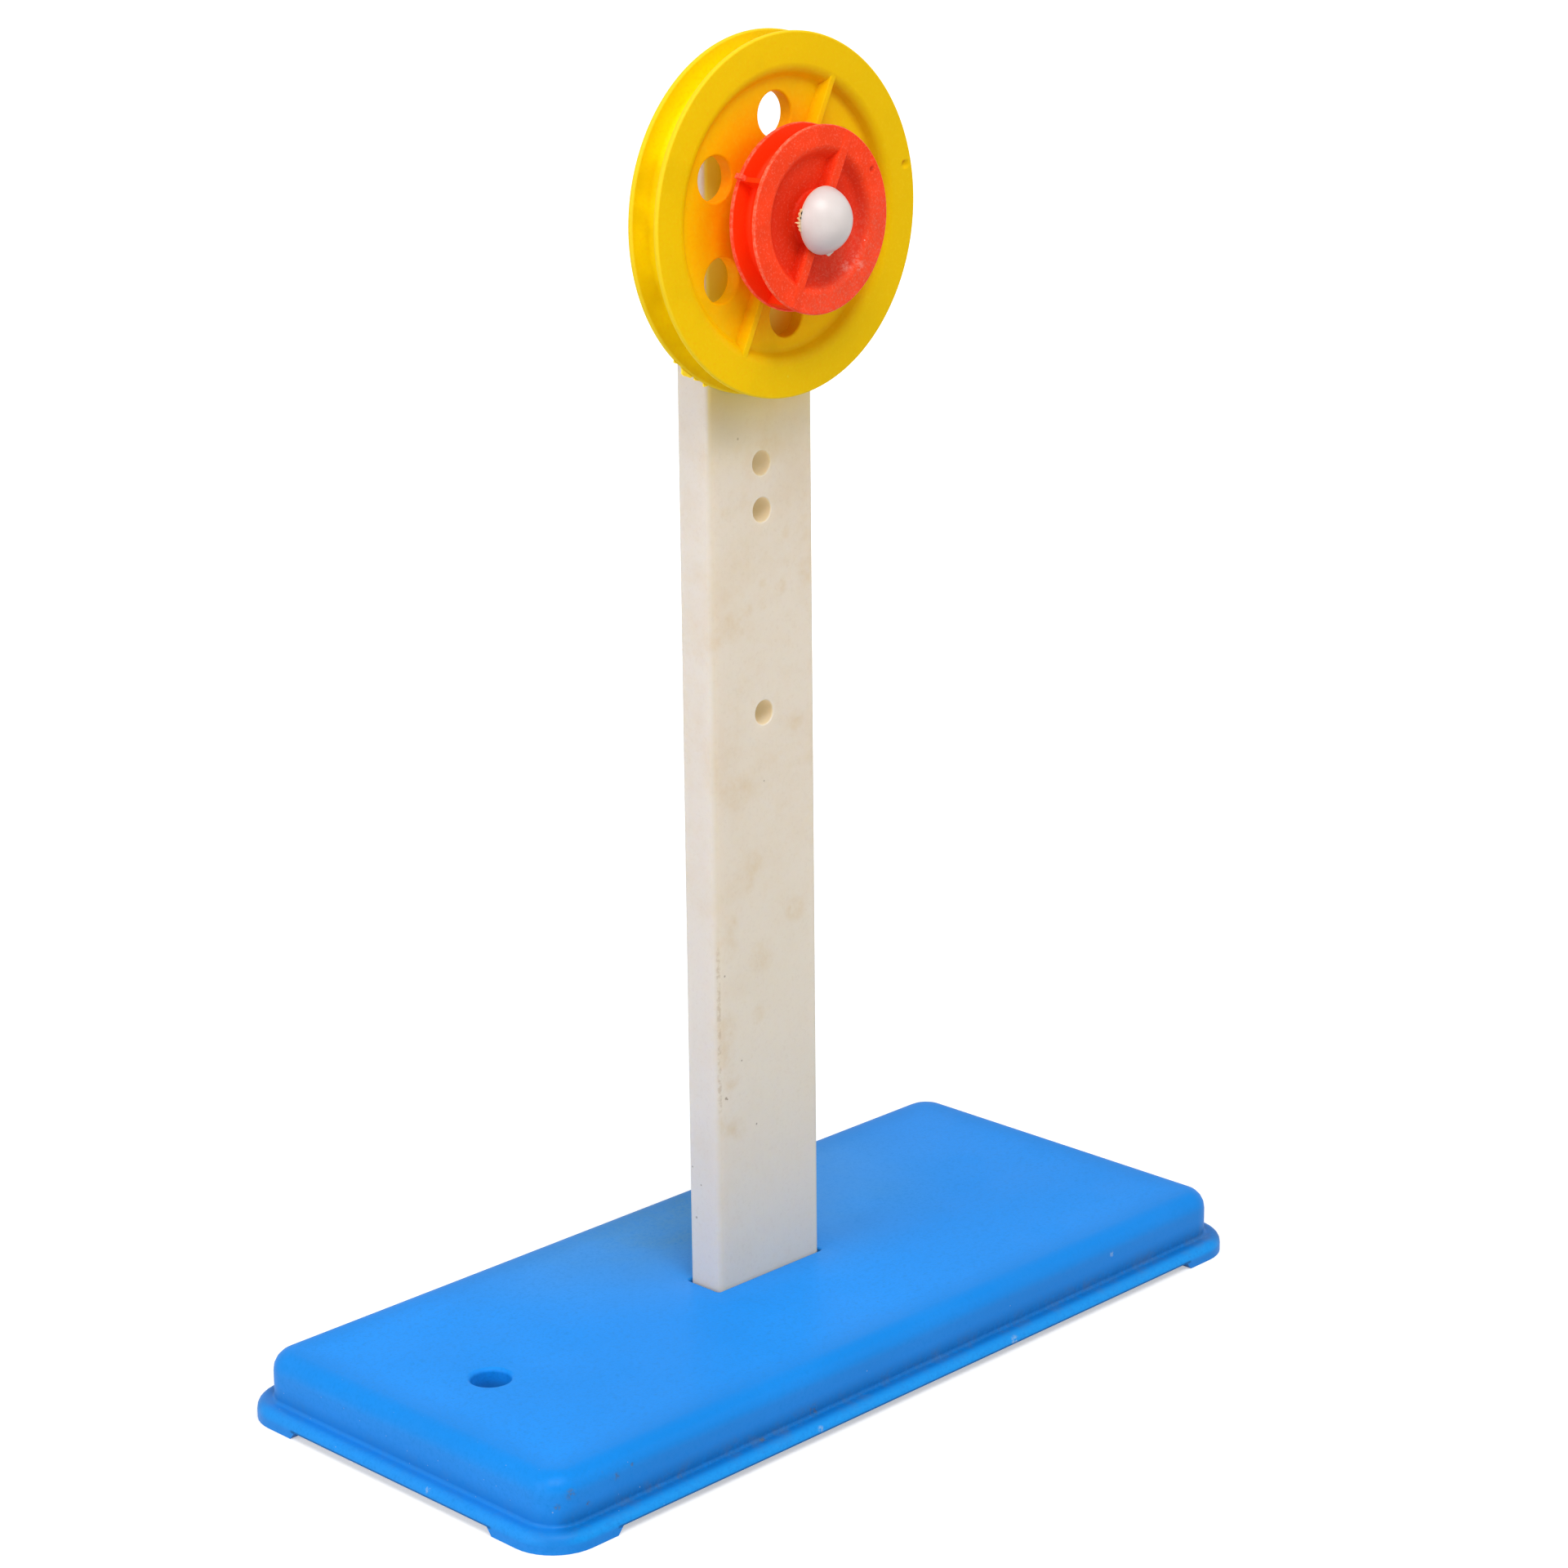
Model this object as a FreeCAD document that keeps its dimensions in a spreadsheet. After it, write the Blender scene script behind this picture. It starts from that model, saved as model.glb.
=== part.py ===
"""Pulley demonstrator: a hollow moulded base, an upright post with spare axle holes, and a large
and a small grooved pulley locked together on one axle pin.

Millimetres, +Z up. The origin is the middle of the base's footprint, on the table. X runs along
the base and the pulleys stand on the post's -Y side, so the axle lies along Y.
"""

import FreeCAD, Part
import math
import os
import re
import Sketcher

Vector = FreeCAD.Vector
QUARTER_TURN = math.pi / 2
TOLERANCE = 0.001

# ---------------------------------------------------------------------------------------------
# Driving dimensions: alias, value, what it is
# ---------------------------------------------------------------------------------------------
SIZES = (
    # base
    ("base_length", 208, "length of the base's body, without its flange"),
    ("base_width", 92, "width of the base's body, without its flange"),
    ("base_height", 14.5, "table to the top of the deck"),
    ("base_wall", 2.4, "thickness of the base's side walls"),
    ("deck_thickness", 2.6, "thickness of the deck"),
    ("corner_radius", 7, "plan radius of the body's four corners"),
    ("deck_rounding", 4.2, "rounding between deck and walls"),
    ("flange_overhang", 3.75, "how far the flange stands out from the walls"),
    ("flange_height", 4, "table to the top of the flange"),
    ("flange_rounding", 2.1, "rounding on the flange's top edge"),
    ("crease_rounding", 0.8, "inner rounding where the walls meet the flange"),
    ("edge_lift", 1.7, "table to the lower edge between the feet"),
    ("foot_wall", 3, "thickness of the corner feet"),
    ("foot_length_long", 17.6, "length of a foot along the long sides"),
    ("foot_length_short", 18, "length of a foot along the short sides"),
    ("foot_draft", 1.4, "how much shorter each foot is at the table"),
    ("rib_thickness", 1.8, "thickness of the ribs under the deck"),
    ("rib_depth", 4.5, "how far the ribs hang below the deck"),
    ("rib_offset", 22, "long ribs to the base's centre line"),
    ("rib_pitch", 35, "spacing of the cross ribs"),
    ("peg_hole_diameter", 8.6, "round hole near the base's left end"),
    ("peg_hole_inset", 24.5, "the round hole's centre to the end of the body"),
    ("peg_boss_wall", 2.4, "wall of the boss under the round hole"),
    # post
    ("post_width", 31, "width of the post"),
    ("post_thickness", 9.5, "thickness of the post"),
    ("post_setback", 1.75, "post's centre behind the base's centre line"),
    ("post_rounding", 1.2, "rounding of the post's upright edges"),
    ("post_end_rounding", 0.9, "rounding round the post's top"),
    ("post_above_axle", 13.5, "axle to the top of the post"),
    ("axle_height", 248.5, "table to the axle"),
    ("spare_hole_high", 196, "table to the highest spare axle hole"),
    ("spare_hole_middle", 186, "table to the middle spare axle hole"),
    ("spare_hole_low", 142, "table to the lowest spare axle hole"),
    # socket and its two screws
    ("slot_side_gap", 0.15, "slot to the post's broad faces"),
    ("slot_end_gap", 0.7, "slot to the post's narrow faces"),
    ("socket_wall", 2.2, "wall of the socket under the deck"),
    ("socket_floor", 2, "thickness of the socket's floor"),
    ("socket_lift", 2, "table to the underside of the socket's floor"),
    ("screw_spacing", 18, "distance between the two post screws"),
    ("screw_diameter", 2.9, "thread of the post screws"),
    ("screw_length", 14, "post screws under the head"),
    ("screw_tip", 1.6, "length of a screw's pointed tip"),
    ("screw_head_diameter", 5.6, "head of the post screws"),
    ("screw_head_height", 1.5, "height of a screw's head"),
    ("screw_head_rounding", 0.8, "rounding of a screw's head"),
    ("screw_recess_length", 3.2, "cross recess from end to end"),
    ("screw_recess_width", 0.7, "width of a cross recess's arms"),
    ("screw_recess_depth", 0.9, "depth of the cross recess"),
    ("screw_pilot_gap", 0.05, "screw thread to its pilot hole in the post"),
    ("screw_pass_gap", 0.25, "screw thread to its hole in the socket's floor"),
    ("pilot_run_out", 2, "pilot hole beyond the screw's tip"),
    # axle
    ("axle_diameter", 5, "axle pin's shank"),
    ("axle_post_gap", 0.15, "shank to the post's holes"),
    ("axle_running_gap", 0.06, "shank to the pulleys' bores"),
    ("axle_cap_gap", 0.02, "shank to the cap's bore"),
    ("head_diameter", 14, "domed head of the axle pin"),
    ("head_height", 5.5, "height of the dome"),
    ("head_gap", 0.4, "small pulley's hub to the dome"),
    ("cap_diameter", 11, "push-on cap behind the post"),
    ("cap_length", 5, "length of the cap"),
    ("cap_rounding", 1.6, "rounding of the cap's end"),
    ("cap_depth", 3.6, "depth of the cap's bore"),
    ("shank_end_gap", 0.4, "shank's end to the bottom of the cap's bore"),
    ("shank_chamfer", 0.5, "chamfer on the shank's end"),
    ("washer_diameter", 11, "thrust washer between post and large pulley"),
    ("washer_thickness", 0.8, "thickness of the thrust washer"),
    ("washer_bore_gap", 0.1, "shank to the washer's bore"),
    ("thrust_gap", 0.1, "washer to the large pulley's hub"),
    # large pulley
    ("large_diameter", 75, "outside of the large pulley"),
    ("large_width", 8.6, "width of the large pulley's rim"),
    ("large_groove_depth", 5, "depth of the large cord groove"),
    ("large_groove_floor", 4.5, "width of the groove's floor"),
    ("large_rim_tip", 1.2, "thickness of a flange at its edge"),
    ("large_recess_diameter", 59.4, "recess in the large pulley's face"),
    ("large_recess_draft", 1.6, "how much narrower in radius the recess is at its floor"),
    ("large_web", 3.3, "thickness of the large pulley's web"),
    ("large_hub_diameter", 15, "hub of the large pulley"),
    ("large_lip_rounding", 1.7, "rounding where the recess meets the face"),
    ("large_recess_rounding", 0.7, "rounding round the recess's floor"),
    ("large_rib_root", 3, "width of the rib across the large pulley, at its middle plane"),
    ("large_rib_top", 1.5, "width of that rib at its top"),
    ("rim_standoff", 0.4, "post to the large pulley's rim"),
    ("web_hole_count", 6, "round holes through the web"),
    ("web_hole_diameter", 9.4, "diameter of the web holes"),
    ("web_hole_circle", 41.4, "diameter of the circle of web holes"),
    # small pulley
    ("small_diameter", 38.6, "outside of the small pulley"),
    ("small_width", 7.4, "width of the small pulley's rim"),
    ("small_groove_depth", 4, "depth of the small cord groove"),
    ("small_groove_floor", 4.3, "width of the groove's floor"),
    ("small_rim_tip", 1, "thickness of a flange at its edge"),
    ("small_recess_diameter", 29.4, "recess in the small pulley's face"),
    ("small_recess_draft", 2.3, "how much narrower in radius the recess is at its floor"),
    ("small_web", 2.4, "thickness of the small pulley's web"),
    ("small_hub_diameter", 11.4, "hub of the small pulley"),
    ("small_lip_rounding", 0.5, "rounding where the recess meets the face"),
    ("small_recess_rounding", 0.4, "rounding round the recess's floor"),
    ("small_rib_root", 2.9, "width of the rib across the small pulley, at its middle plane"),
    ("small_rib_top", 2.2, "width of that rib at its top"),
    ("pulley_gap", 1.7, "large pulley's rim to the small pulley's rim"),
    ("fin_angle", 86, "moulding fin in the small groove, from the rib"),
    ("fin_thickness", 0.8, "thickness of the moulding fin"),
    ("fin_below_rim", 0.5, "fin's edge below the rim's edge"),
    ("tab_above_rim", 0.6, "fin's tab above the rim's edge"),
    ("tab_width", 1.5, "width of the fin's tab"),
    # shared by both pulleys
    ("rib_drop", 0.1, "ribs below the rims' faces"),
    ("rib_angle", 64, "ribs across both pulleys, from the horizontal"),
    ("rim_chamfer", 0.35, "bevel on the rims' edges"),
    ("key_diameter", 8.8, "round of the key between the two pulleys"),
    ("key_flats", 6.8, "distance between the key's two flats"),
    ("key_length", 4.5, "length of the key"),
    ("key_gap", 0.08, "key to its socket"),
    ("key_end_gap", 0.3, "key's end to the bottom of its socket"),
)

# ---------------------------------------------------------------------------------------------
# Places that follow from the driving dimensions
# ---------------------------------------------------------------------------------------------
DECK_UNDERSIDE = "(base_height - deck_thickness)"
SOCKET_TOP = "(socket_lift + socket_floor)"
PEG_HOLE_X = "(peg_hole_inset - base_length / 2)"
FLANGE_LENGTH = "(base_length + 2 * flange_overhang)"
FLANGE_WIDTH = "(base_width + 2 * flange_overhang)"
FLANGE_CORNER = "(corner_radius + flange_overhang)"
SLOT_LENGTH = "(post_width + 2 * slot_end_gap)"
SLOT_WIDTH = "(post_thickness + 2 * slot_side_gap)"
POST_TOP = "(axle_height + post_above_axle)"
AXLE_HOLE_RADIUS = "(axle_diameter / 2 + axle_post_gap)"
BORE_RADIUS = "(axle_diameter / 2 + axle_running_gap)"
POST_FRONT = "(post_setback - post_thickness / 2)"
POST_BACK = "(post_setback + post_thickness / 2)"
LARGE_MIDDLE = "(post_setback - post_thickness / 2 - rim_standoff - large_width / 2)"
SMALL_REAR = "(post_setback - post_thickness / 2 - rim_standoff - large_width - pulley_gap)"
SMALL_MIDDLE = f"({SMALL_REAR} - small_width / 2)"
SMALL_FRONT = f"({SMALL_REAR} - small_width)"
HEAD_SEAT = f"({SMALL_FRONT} - head_gap)"
LARGE_HUB_REAR = "(large_width / 2 + rim_standoff - washer_thickness - thrust_gap)"

doc = FreeCAD.newDocument("pulley_demonstrator")
sheet = doc.addObject("Spreadsheet::Sheet", "Sizes")
for row, (alias, value, note) in enumerate(SIZES, start=1):
    sheet.set(f"A{row}", alias)
    sheet.set(f"B{row}", str(value))
    sheet.set(f"C{row}", note)
    sheet.setAlias(f"B{row}", alias)
doc.recompute()


# ---------------------------------------------------------------------------------------------
# Helpers
# ---------------------------------------------------------------------------------------------
def bound(text):
    """The expression with every alias turned into a reference to the sheet."""
    return re.sub(r"[a-z]\w+", lambda word: "Sizes." + word.group(), text)


def number(text):
    """The expression's present value."""
    return float(sheet.evalExpression(bound(text)))


def new_body(name):
    body = doc.addObject("PartDesign::Body", name)
    body.Label = name
    return body


def origin_feature(body, role):
    return next(item for item in body.Origin.OriginFeatures if item.Role == role)


def new_sketch(body, name, plane="XY_Plane", offset=None):
    """A sketch on one of the body's origin planes, lifted along the plane's normal by offset."""
    sketch = body.newObject("Sketcher::SketchObject", name)
    sketch.AttachmentSupport = [(origin_feature(body, plane), "")]
    sketch.MapMode = "FlatFace"
    if offset is not None:
        sketch.setExpression("AttachmentOffset.Base.z", bound(offset))
    return sketch


def turn_sketch(sketch, angle, axis):
    """Turn the sketch about an axis of its own plane's frame, by so many degrees."""
    turn = FreeCAD.Rotation(axis, number(angle))
    sketch.AttachmentOffset = FreeCAD.Placement(Vector(0, 0, 0), turn)
    sketch.setExpression("AttachmentOffset.Rotation.Angle", bound(angle))


def constrain(sketch, name, expression, *constraint):
    """A dimension, named and tied to the sheet."""
    index = sketch.addConstraint(Sketcher.Constraint(*constraint, number(expression)))
    sketch.renameConstraint(index, name)
    sketch.setExpression(f"Constraints.{name}", bound(expression))


def pin(sketch, name, geometry, point, x, y):
    """Fix one point of the geometry at x, y from the sketch's origin."""
    if x == "0":
        sketch.addConstraint(Sketcher.Constraint("PointOnObject", geometry, point, -2))
    else:
        constrain(sketch, f"{name}_x", x, "DistanceX", -1, 1, geometry, point)
    if y == "0":
        sketch.addConstraint(Sketcher.Constraint("PointOnObject", geometry, point, -1))
    else:
        constrain(sketch, f"{name}_y", y, "DistanceY", -1, 1, geometry, point)


def polygon(sketch, corners, name="p"):
    """A closed outline with straight sides through the corners, each a pair of expressions."""
    points = [Vector(number(x), number(y), 0) for x, y in corners]
    count = len(points)
    lines = [
        sketch.addGeometry(Part.LineSegment(points[i], points[(i + 1) % count]), False)
        for i in range(count)
    ]
    for i in range(count):
        following = lines[(i + 1) % count]
        sketch.addConstraint(Sketcher.Constraint("Coincident", lines[i], 2, following, 1))
    for i, (x, y) in enumerate(corners):
        pin(sketch, f"{name}{i}", lines[i], 1, x, y)


def rectangle(sketch, length, width, name="p", x="0", y="0"):
    """A rectangle about the point x, y."""
    left, right = f"{x} - {length} / 2", f"{x} + {length} / 2"
    near, far = f"{y} - {width} / 2", f"{y} + {width} / 2"
    polygon(sketch, ((left, near), (right, near), (right, far), (left, far)), name)


def rounded_rectangle(sketch, length, width, radius):
    """A rectangle about the origin with four round corners."""
    reach_x, reach_y = f"({length} / 2 - {radius})", f"({width} / 2 - {radius})"
    signs = ((1, 1), (-1, 1), (-1, -1), (1, -1))
    r = number(radius)
    arcs = []
    for quarter, (sx, sy) in enumerate(signs):
        centre = Vector(sx * number(reach_x), sy * number(reach_y), 0)
        start = quarter * QUARTER_TURN
        round_corner = Part.Circle(centre, Vector(0, 0, 1), r)
        arc = Part.ArcOfCircle(round_corner, start, start + QUARTER_TURN)
        arcs.append(sketch.addGeometry(arc, False))
    for quarter, (sx, sy) in enumerate(signs):
        arc, following = arcs[quarter], arcs[(quarter + 1) % 4]
        start = sketch.getPoint(arc, 2)
        end = sketch.getPoint(following, 1)
        line = sketch.addGeometry(Part.LineSegment(start, end), False)
        sketch.addConstraint(Sketcher.Constraint("Tangent", arc, 2, line, 1))
        sketch.addConstraint(Sketcher.Constraint("Tangent", line, 2, following, 1))
        name = f"corner{quarter}"
        constrain(sketch, f"{name}_radius", radius, "Radius", arc)
        pin(sketch, name, arc, 3, f"{sx} * {reach_x}", f"{sy} * {reach_y}")


def circle(sketch, diameter, x="0", y="0", name="c"):
    centre = Vector(number(x), number(y), 0)
    round_ = sketch.addGeometry(Part.Circle(centre, Vector(0, 0, 1), number(diameter) / 2), False)
    constrain(sketch, f"{name}_diameter", diameter, "Diameter", round_)
    pin(sketch, name, round_, 3, x, y)


def double_d(sketch, diameter, flats):
    """A circle about the origin with two flats, one above and one below."""
    radius, half = number(diameter) / 2, number(flats) / 2
    reach = (radius**2 - half**2) ** 0.5
    signs = ((1, -1), (1, 1), (-1, 1), (-1, -1))
    corners = [Vector(sx * reach, sy * half, 0) for sx, sy in signs]
    right_arc = Part.Arc(corners[0], Vector(radius, 0, 0), corners[1])
    left_arc = Part.Arc(corners[2], Vector(-radius, 0, 0), corners[3])
    right = sketch.addGeometry(right_arc, False)
    top = sketch.addGeometry(Part.LineSegment(corners[1], corners[2]), False)
    left = sketch.addGeometry(left_arc, False)
    bottom = sketch.addGeometry(Part.LineSegment(corners[3], corners[0]), False)
    ends = ((right, 2, top, 1), (top, 2, left, 1), (left, 2, bottom, 1), (bottom, 2, right, 1))
    for pair in ends:
        sketch.addConstraint(Sketcher.Constraint("Coincident", *pair))
    for arc in (right, left):
        sketch.addConstraint(Sketcher.Constraint("Coincident", arc, 3, -1, 1))
    sketch.addConstraint(Sketcher.Constraint("Equal", right, left))
    for line in (top, bottom):
        sketch.addConstraint(Sketcher.Constraint("Horizontal", line))
    constrain(sketch, "round", diameter, "Diameter", right)
    constrain(sketch, "flat_top", f"{flats} / 2", "DistanceY", -1, 1, top, 1)
    constrain(sketch, "flat_bottom", f"-{flats} / 2", "DistanceY", -1, 1, bottom, 1)


volumes = {}  # each body's volume after its last feature


def finish(body, feature, grows):
    """Recompute and see that the feature has added or removed material."""
    doc.recompute()
    volume = feature.Shape.Volume
    last = volumes.get(body.Name, 0.0)
    if grows and volume <= last or not grows and volume >= last:
        raise RuntimeError(f"{body.Label}: {feature.Name} changes nothing")
    volumes[body.Name] = volume
    return feature


def pad(body, sketch, name, length, downwards=False, both_ways=False):
    feature = body.newObject("PartDesign::Pad", name)
    feature.Profile = sketch
    feature.Reversed = downwards
    feature.Midplane = both_ways
    feature.setExpression("Length", bound(length))
    return finish(body, feature, grows=True)


def pocket(body, sketch, name, depth=None, upwards=False):
    """A cut along the sketch's normal: down unless upwards, and right through without a depth."""
    feature = body.newObject("PartDesign::Pocket", name)
    feature.Profile = sketch
    feature.Reversed = upwards
    if depth is None:
        feature.Type = "ThroughAll"
        feature.Midplane = True
    else:
        feature.setExpression("Length", bound(depth))
    return finish(body, feature, grows=False)


def revolve(body, sketch, name="Turned"):
    feature = body.newObject("PartDesign::Revolution", name)
    feature.Profile = sketch
    feature.ReferenceAxis = (sketch, ["V_Axis"])
    feature.Angle = 360
    return finish(body, feature, grows=True)


def dress(body, kind, name, size, chooser):
    """A fillet or chamfer on every edge of the body that the chooser picks."""
    base = body.Tip
    names = [f"Edge{i}" for i, edge in enumerate(base.Shape.Edges, start=1) if chooser(edge)]
    if not names:
        raise RuntimeError(f"{body.Label}: {name} has no edges")
    feature = body.newObject(f"PartDesign::{kind}", name)
    feature.Base = (base, names)
    feature.setExpression("Radius" if kind == "Fillet" else "Size", bound(size))
    doc.recompute()
    volumes[body.Name] = feature.Shape.Volume
    return feature


def close(a, b):
    return abs(a - b) < TOLERANCE


def flat_at(height):
    """Chooses the edges that lie at one height."""
    return lambda edge: close(edge.BoundBox.ZMin, height) and close(edge.BoundBox.ZMax, height)


def ring_at(edge, radius, height):
    """True for the two circles of one radius at that height above and below the XY plane."""
    curve = edge.Curve
    if not isinstance(curve, Part.Circle):
        return False
    return close(curve.Radius, radius) and close(abs(curve.Center.z), height)


def upright(edge):
    return close(edge.BoundBox.XLength, 0) and close(edge.BoundBox.YLength, 0)


def outer(edge, length, width):
    """True for edges on the outline of a length by width rectangle about the origin."""
    box = edge.BoundBox
    inside_x = max(abs(box.XMin), abs(box.XMax)) < length / 2 - TOLERANCE
    inside_y = max(abs(box.YMin), abs(box.YMax)) < width / 2 - TOLERANCE
    return not (inside_x and inside_y)


# ---------------------------------------------------------------------------------------------
# Base: a hollow tray with a flange, four corner feet, ribs and the post's socket
# ---------------------------------------------------------------------------------------------
def make_base():
    body = new_body("base")

    walls = new_sketch(body, "WallOutline", offset="edge_lift")
    rounded_rectangle(walls, "base_length", "base_width", "corner_radius")
    pad(body, walls, "Walls", "base_height - edge_lift")
    dress(body, "Fillet", "DeckRounding", "deck_rounding", flat_at(number("base_height")))

    flange = new_sketch(body, "FlangeOutline", offset="edge_lift")
    rounded_rectangle(flange, FLANGE_LENGTH, FLANGE_WIDTH, FLANGE_CORNER)
    pad(body, flange, "Flange", "flange_height - edge_lift")
    at_top = flat_at(number("flange_height"))
    length, width = number(FLANGE_LENGTH), number(FLANGE_WIDTH)
    corners = number(FLANGE_CORNER), number("corner_radius")
    straight = number("base_length - 2 * corner_radius"), number("base_width - 2 * corner_radius")

    def rim(edge):
        if not at_top(edge):
            return False
        if isinstance(edge.Curve, Part.Circle):
            return close(edge.Curve.Radius, corners[0])
        return outer(edge, length, width)

    def crease(edge):
        if not at_top(edge) or outer(edge, length, width):
            return False
        if isinstance(edge.Curve, Part.Circle):
            return close(edge.Curve.Radius, corners[1])
        return any(close(edge.Length, run) for run in straight)

    dress(body, "Fillet", "FlangeRounding", "flange_rounding", rim)
    dress(body, "Fillet", "CreaseRounding", "crease_rounding", crease)

    feet = new_sketch(body, "FootOutline")
    rounded_rectangle(feet, FLANGE_LENGTH, FLANGE_WIDTH, FLANGE_CORNER)
    pad(body, feet, "Feet", "edge_lift")
    inside = new_sketch(body, "FootInside")
    rounded_rectangle(inside, f"({FLANGE_LENGTH} - 2 * foot_wall)",
                      f"({FLANGE_WIDTH} - 2 * foot_wall)", f"({FLANGE_CORNER} - foot_wall)")
    pocket(body, inside, "FootHollow", "edge_lift", upwards=True)

    for side, plane, run, span in (
        ("Long", "XZ_Plane", "foot_length_long", FLANGE_LENGTH),
        ("Short", "YZ_Plane", "foot_length_short", FLANGE_WIDTH),
    ):
        gap = new_sketch(body, f"{side}SideGap", plane)
        at_table = f"({span} / 2 - {run})"
        at_edge = f"({at_table} - foot_draft)"
        polygon(gap, ((f"-{at_table}", "0"), (at_table, "0"),
                      (at_edge, "edge_lift"), (f"-{at_edge}", "edge_lift")))
        pocket(body, gap, f"{side}SideNotch")

    cavity = new_sketch(body, "CavityOutline")
    rounded_rectangle(cavity, "(base_length - 2 * base_wall)", "(base_width - 2 * base_wall)",
                      "(corner_radius - base_wall)")
    pocket(body, cavity, "Cavity", DECK_UNDERSIDE, upwards=True)

    inner_length, inner_width = "(base_length - base_wall)", "(base_width - base_wall)"
    for i, place in enumerate(("-rib_offset", "rib_offset")):
        rib = new_sketch(body, f"LongRibOutline{i}", offset=DECK_UNDERSIDE)
        rectangle(rib, inner_length, "rib_thickness", y=place)
        pad(body, rib, f"LongRib{i}", "rib_depth", downwards=True)
    for i, place in enumerate(("-2 * rib_pitch", "-rib_pitch", "rib_pitch", "2 * rib_pitch")):
        rib = new_sketch(body, f"CrossRibOutline{i}", offset=DECK_UNDERSIDE)
        rectangle(rib, "rib_thickness", inner_width, x=place)
        pad(body, rib, f"CrossRib{i}", "rib_depth", downwards=True)

    boss = new_sketch(body, "PegBossOutline", offset=DECK_UNDERSIDE)
    circle(boss, "(peg_hole_diameter + 2 * peg_boss_wall)", x=PEG_HOLE_X)
    pad(body, boss, "PegBoss", "rib_depth", downwards=True)
    hole = new_sketch(body, "PegHoleOutline", offset="base_height")
    circle(hole, "peg_hole_diameter", x=PEG_HOLE_X)
    pocket(body, hole, "PegHole", "deck_thickness + rib_depth")

    socket = new_sketch(body, "SocketOutline", offset="socket_lift")
    rectangle(socket, f"({SLOT_LENGTH} + 2 * socket_wall)", f"({SLOT_WIDTH} + 2 * socket_wall)",
              y="post_setback")
    pad(body, socket, "Socket", f"{DECK_UNDERSIDE} - socket_lift")
    slot = new_sketch(body, "SlotOutline", offset="base_height")
    rectangle(slot, SLOT_LENGTH, SLOT_WIDTH, y="post_setback")
    pocket(body, slot, "Slot", f"base_height - {SOCKET_TOP}")
    passing = new_sketch(body, "ScrewHoleOutline", offset=SOCKET_TOP)
    for side, place in (("left", "-screw_spacing / 2"), ("right", "screw_spacing / 2")):
        circle(passing, "(screw_diameter + 2 * screw_pass_gap)", place, "post_setback", side)
    pocket(body, passing, "ScrewHoles", "socket_floor")
    return body


# ---------------------------------------------------------------------------------------------
# Post: a solid bar, drilled across for the axle and its three spare places
# ---------------------------------------------------------------------------------------------
def make_post():
    body = new_body("post")
    section = new_sketch(body, "Section", offset=SOCKET_TOP)
    rectangle(section, "post_width", "post_thickness")
    pad(body, section, "Bar", f"{POST_TOP} - {SOCKET_TOP}")
    dress(body, "Fillet", "SideRounding", "post_rounding", upright)
    dress(body, "Fillet", "TopRounding", "post_end_rounding", flat_at(number(POST_TOP)))

    holes = new_sketch(body, "AxleHoleOutline", "XZ_Plane")
    for name in ("axle_height", "spare_hole_high", "spare_hole_middle", "spare_hole_low"):
        circle(holes, f"(2 * {AXLE_HOLE_RADIUS})", "0", name, name)
    pocket(body, holes, "AxleHoles")

    pilots = new_sketch(body, "PilotOutline", offset=SOCKET_TOP)
    for side, place in (("left", "-screw_spacing / 2"), ("right", "screw_spacing / 2")):
        circle(pilots, "(screw_diameter + 2 * screw_pilot_gap)", place, "0", side)
    pocket(body, pilots, "Pilots", "screw_length - socket_floor + pilot_run_out", upwards=True)
    body.setExpression("Placement.Base.y", bound("post_setback"))
    return body


# ---------------------------------------------------------------------------------------------
# Pulleys: turned about their own Z axis, which points out of the front face
# ---------------------------------------------------------------------------------------------
def rim_section(size, hub_rear, hub_front):
    """Half of a pulley's section, as radius and height, from its bore round the rim and back."""
    radius = f"({size}_diameter / 2)"
    hub = f"({size}_hub_diameter / 2)"
    face = f"({size}_width / 2)"
    web = f"({size}_web / 2)"
    floor = f"({size}_groove_floor / 2)"
    mouth = f"({face} - {size}_rim_tip)"
    groove = f"({radius} - {size}_groove_depth)"
    recess = f"({size}_recess_diameter / 2)"
    recess_floor = f"({recess} - {size}_recess_draft)"
    half = (
        (recess_floor, web), (recess, face),
        (f"({radius} - rim_chamfer)", face), (radius, f"({face} - rim_chamfer)"),
        (radius, f"({mouth} + rim_chamfer)"), (f"({radius} - rim_chamfer)", mouth),
        (groove, floor),
    )
    front = [(BORE_RADIUS, hub_front), (hub, hub_front), (hub, web), *half]
    rear = [(r, f"-{z}") for r, z in reversed(half)]
    rear += [(hub, f"-{web}"), (hub, f"-{hub_rear}"), (BORE_RADIUS, f"-{hub_rear}")]
    return front + rear


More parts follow.
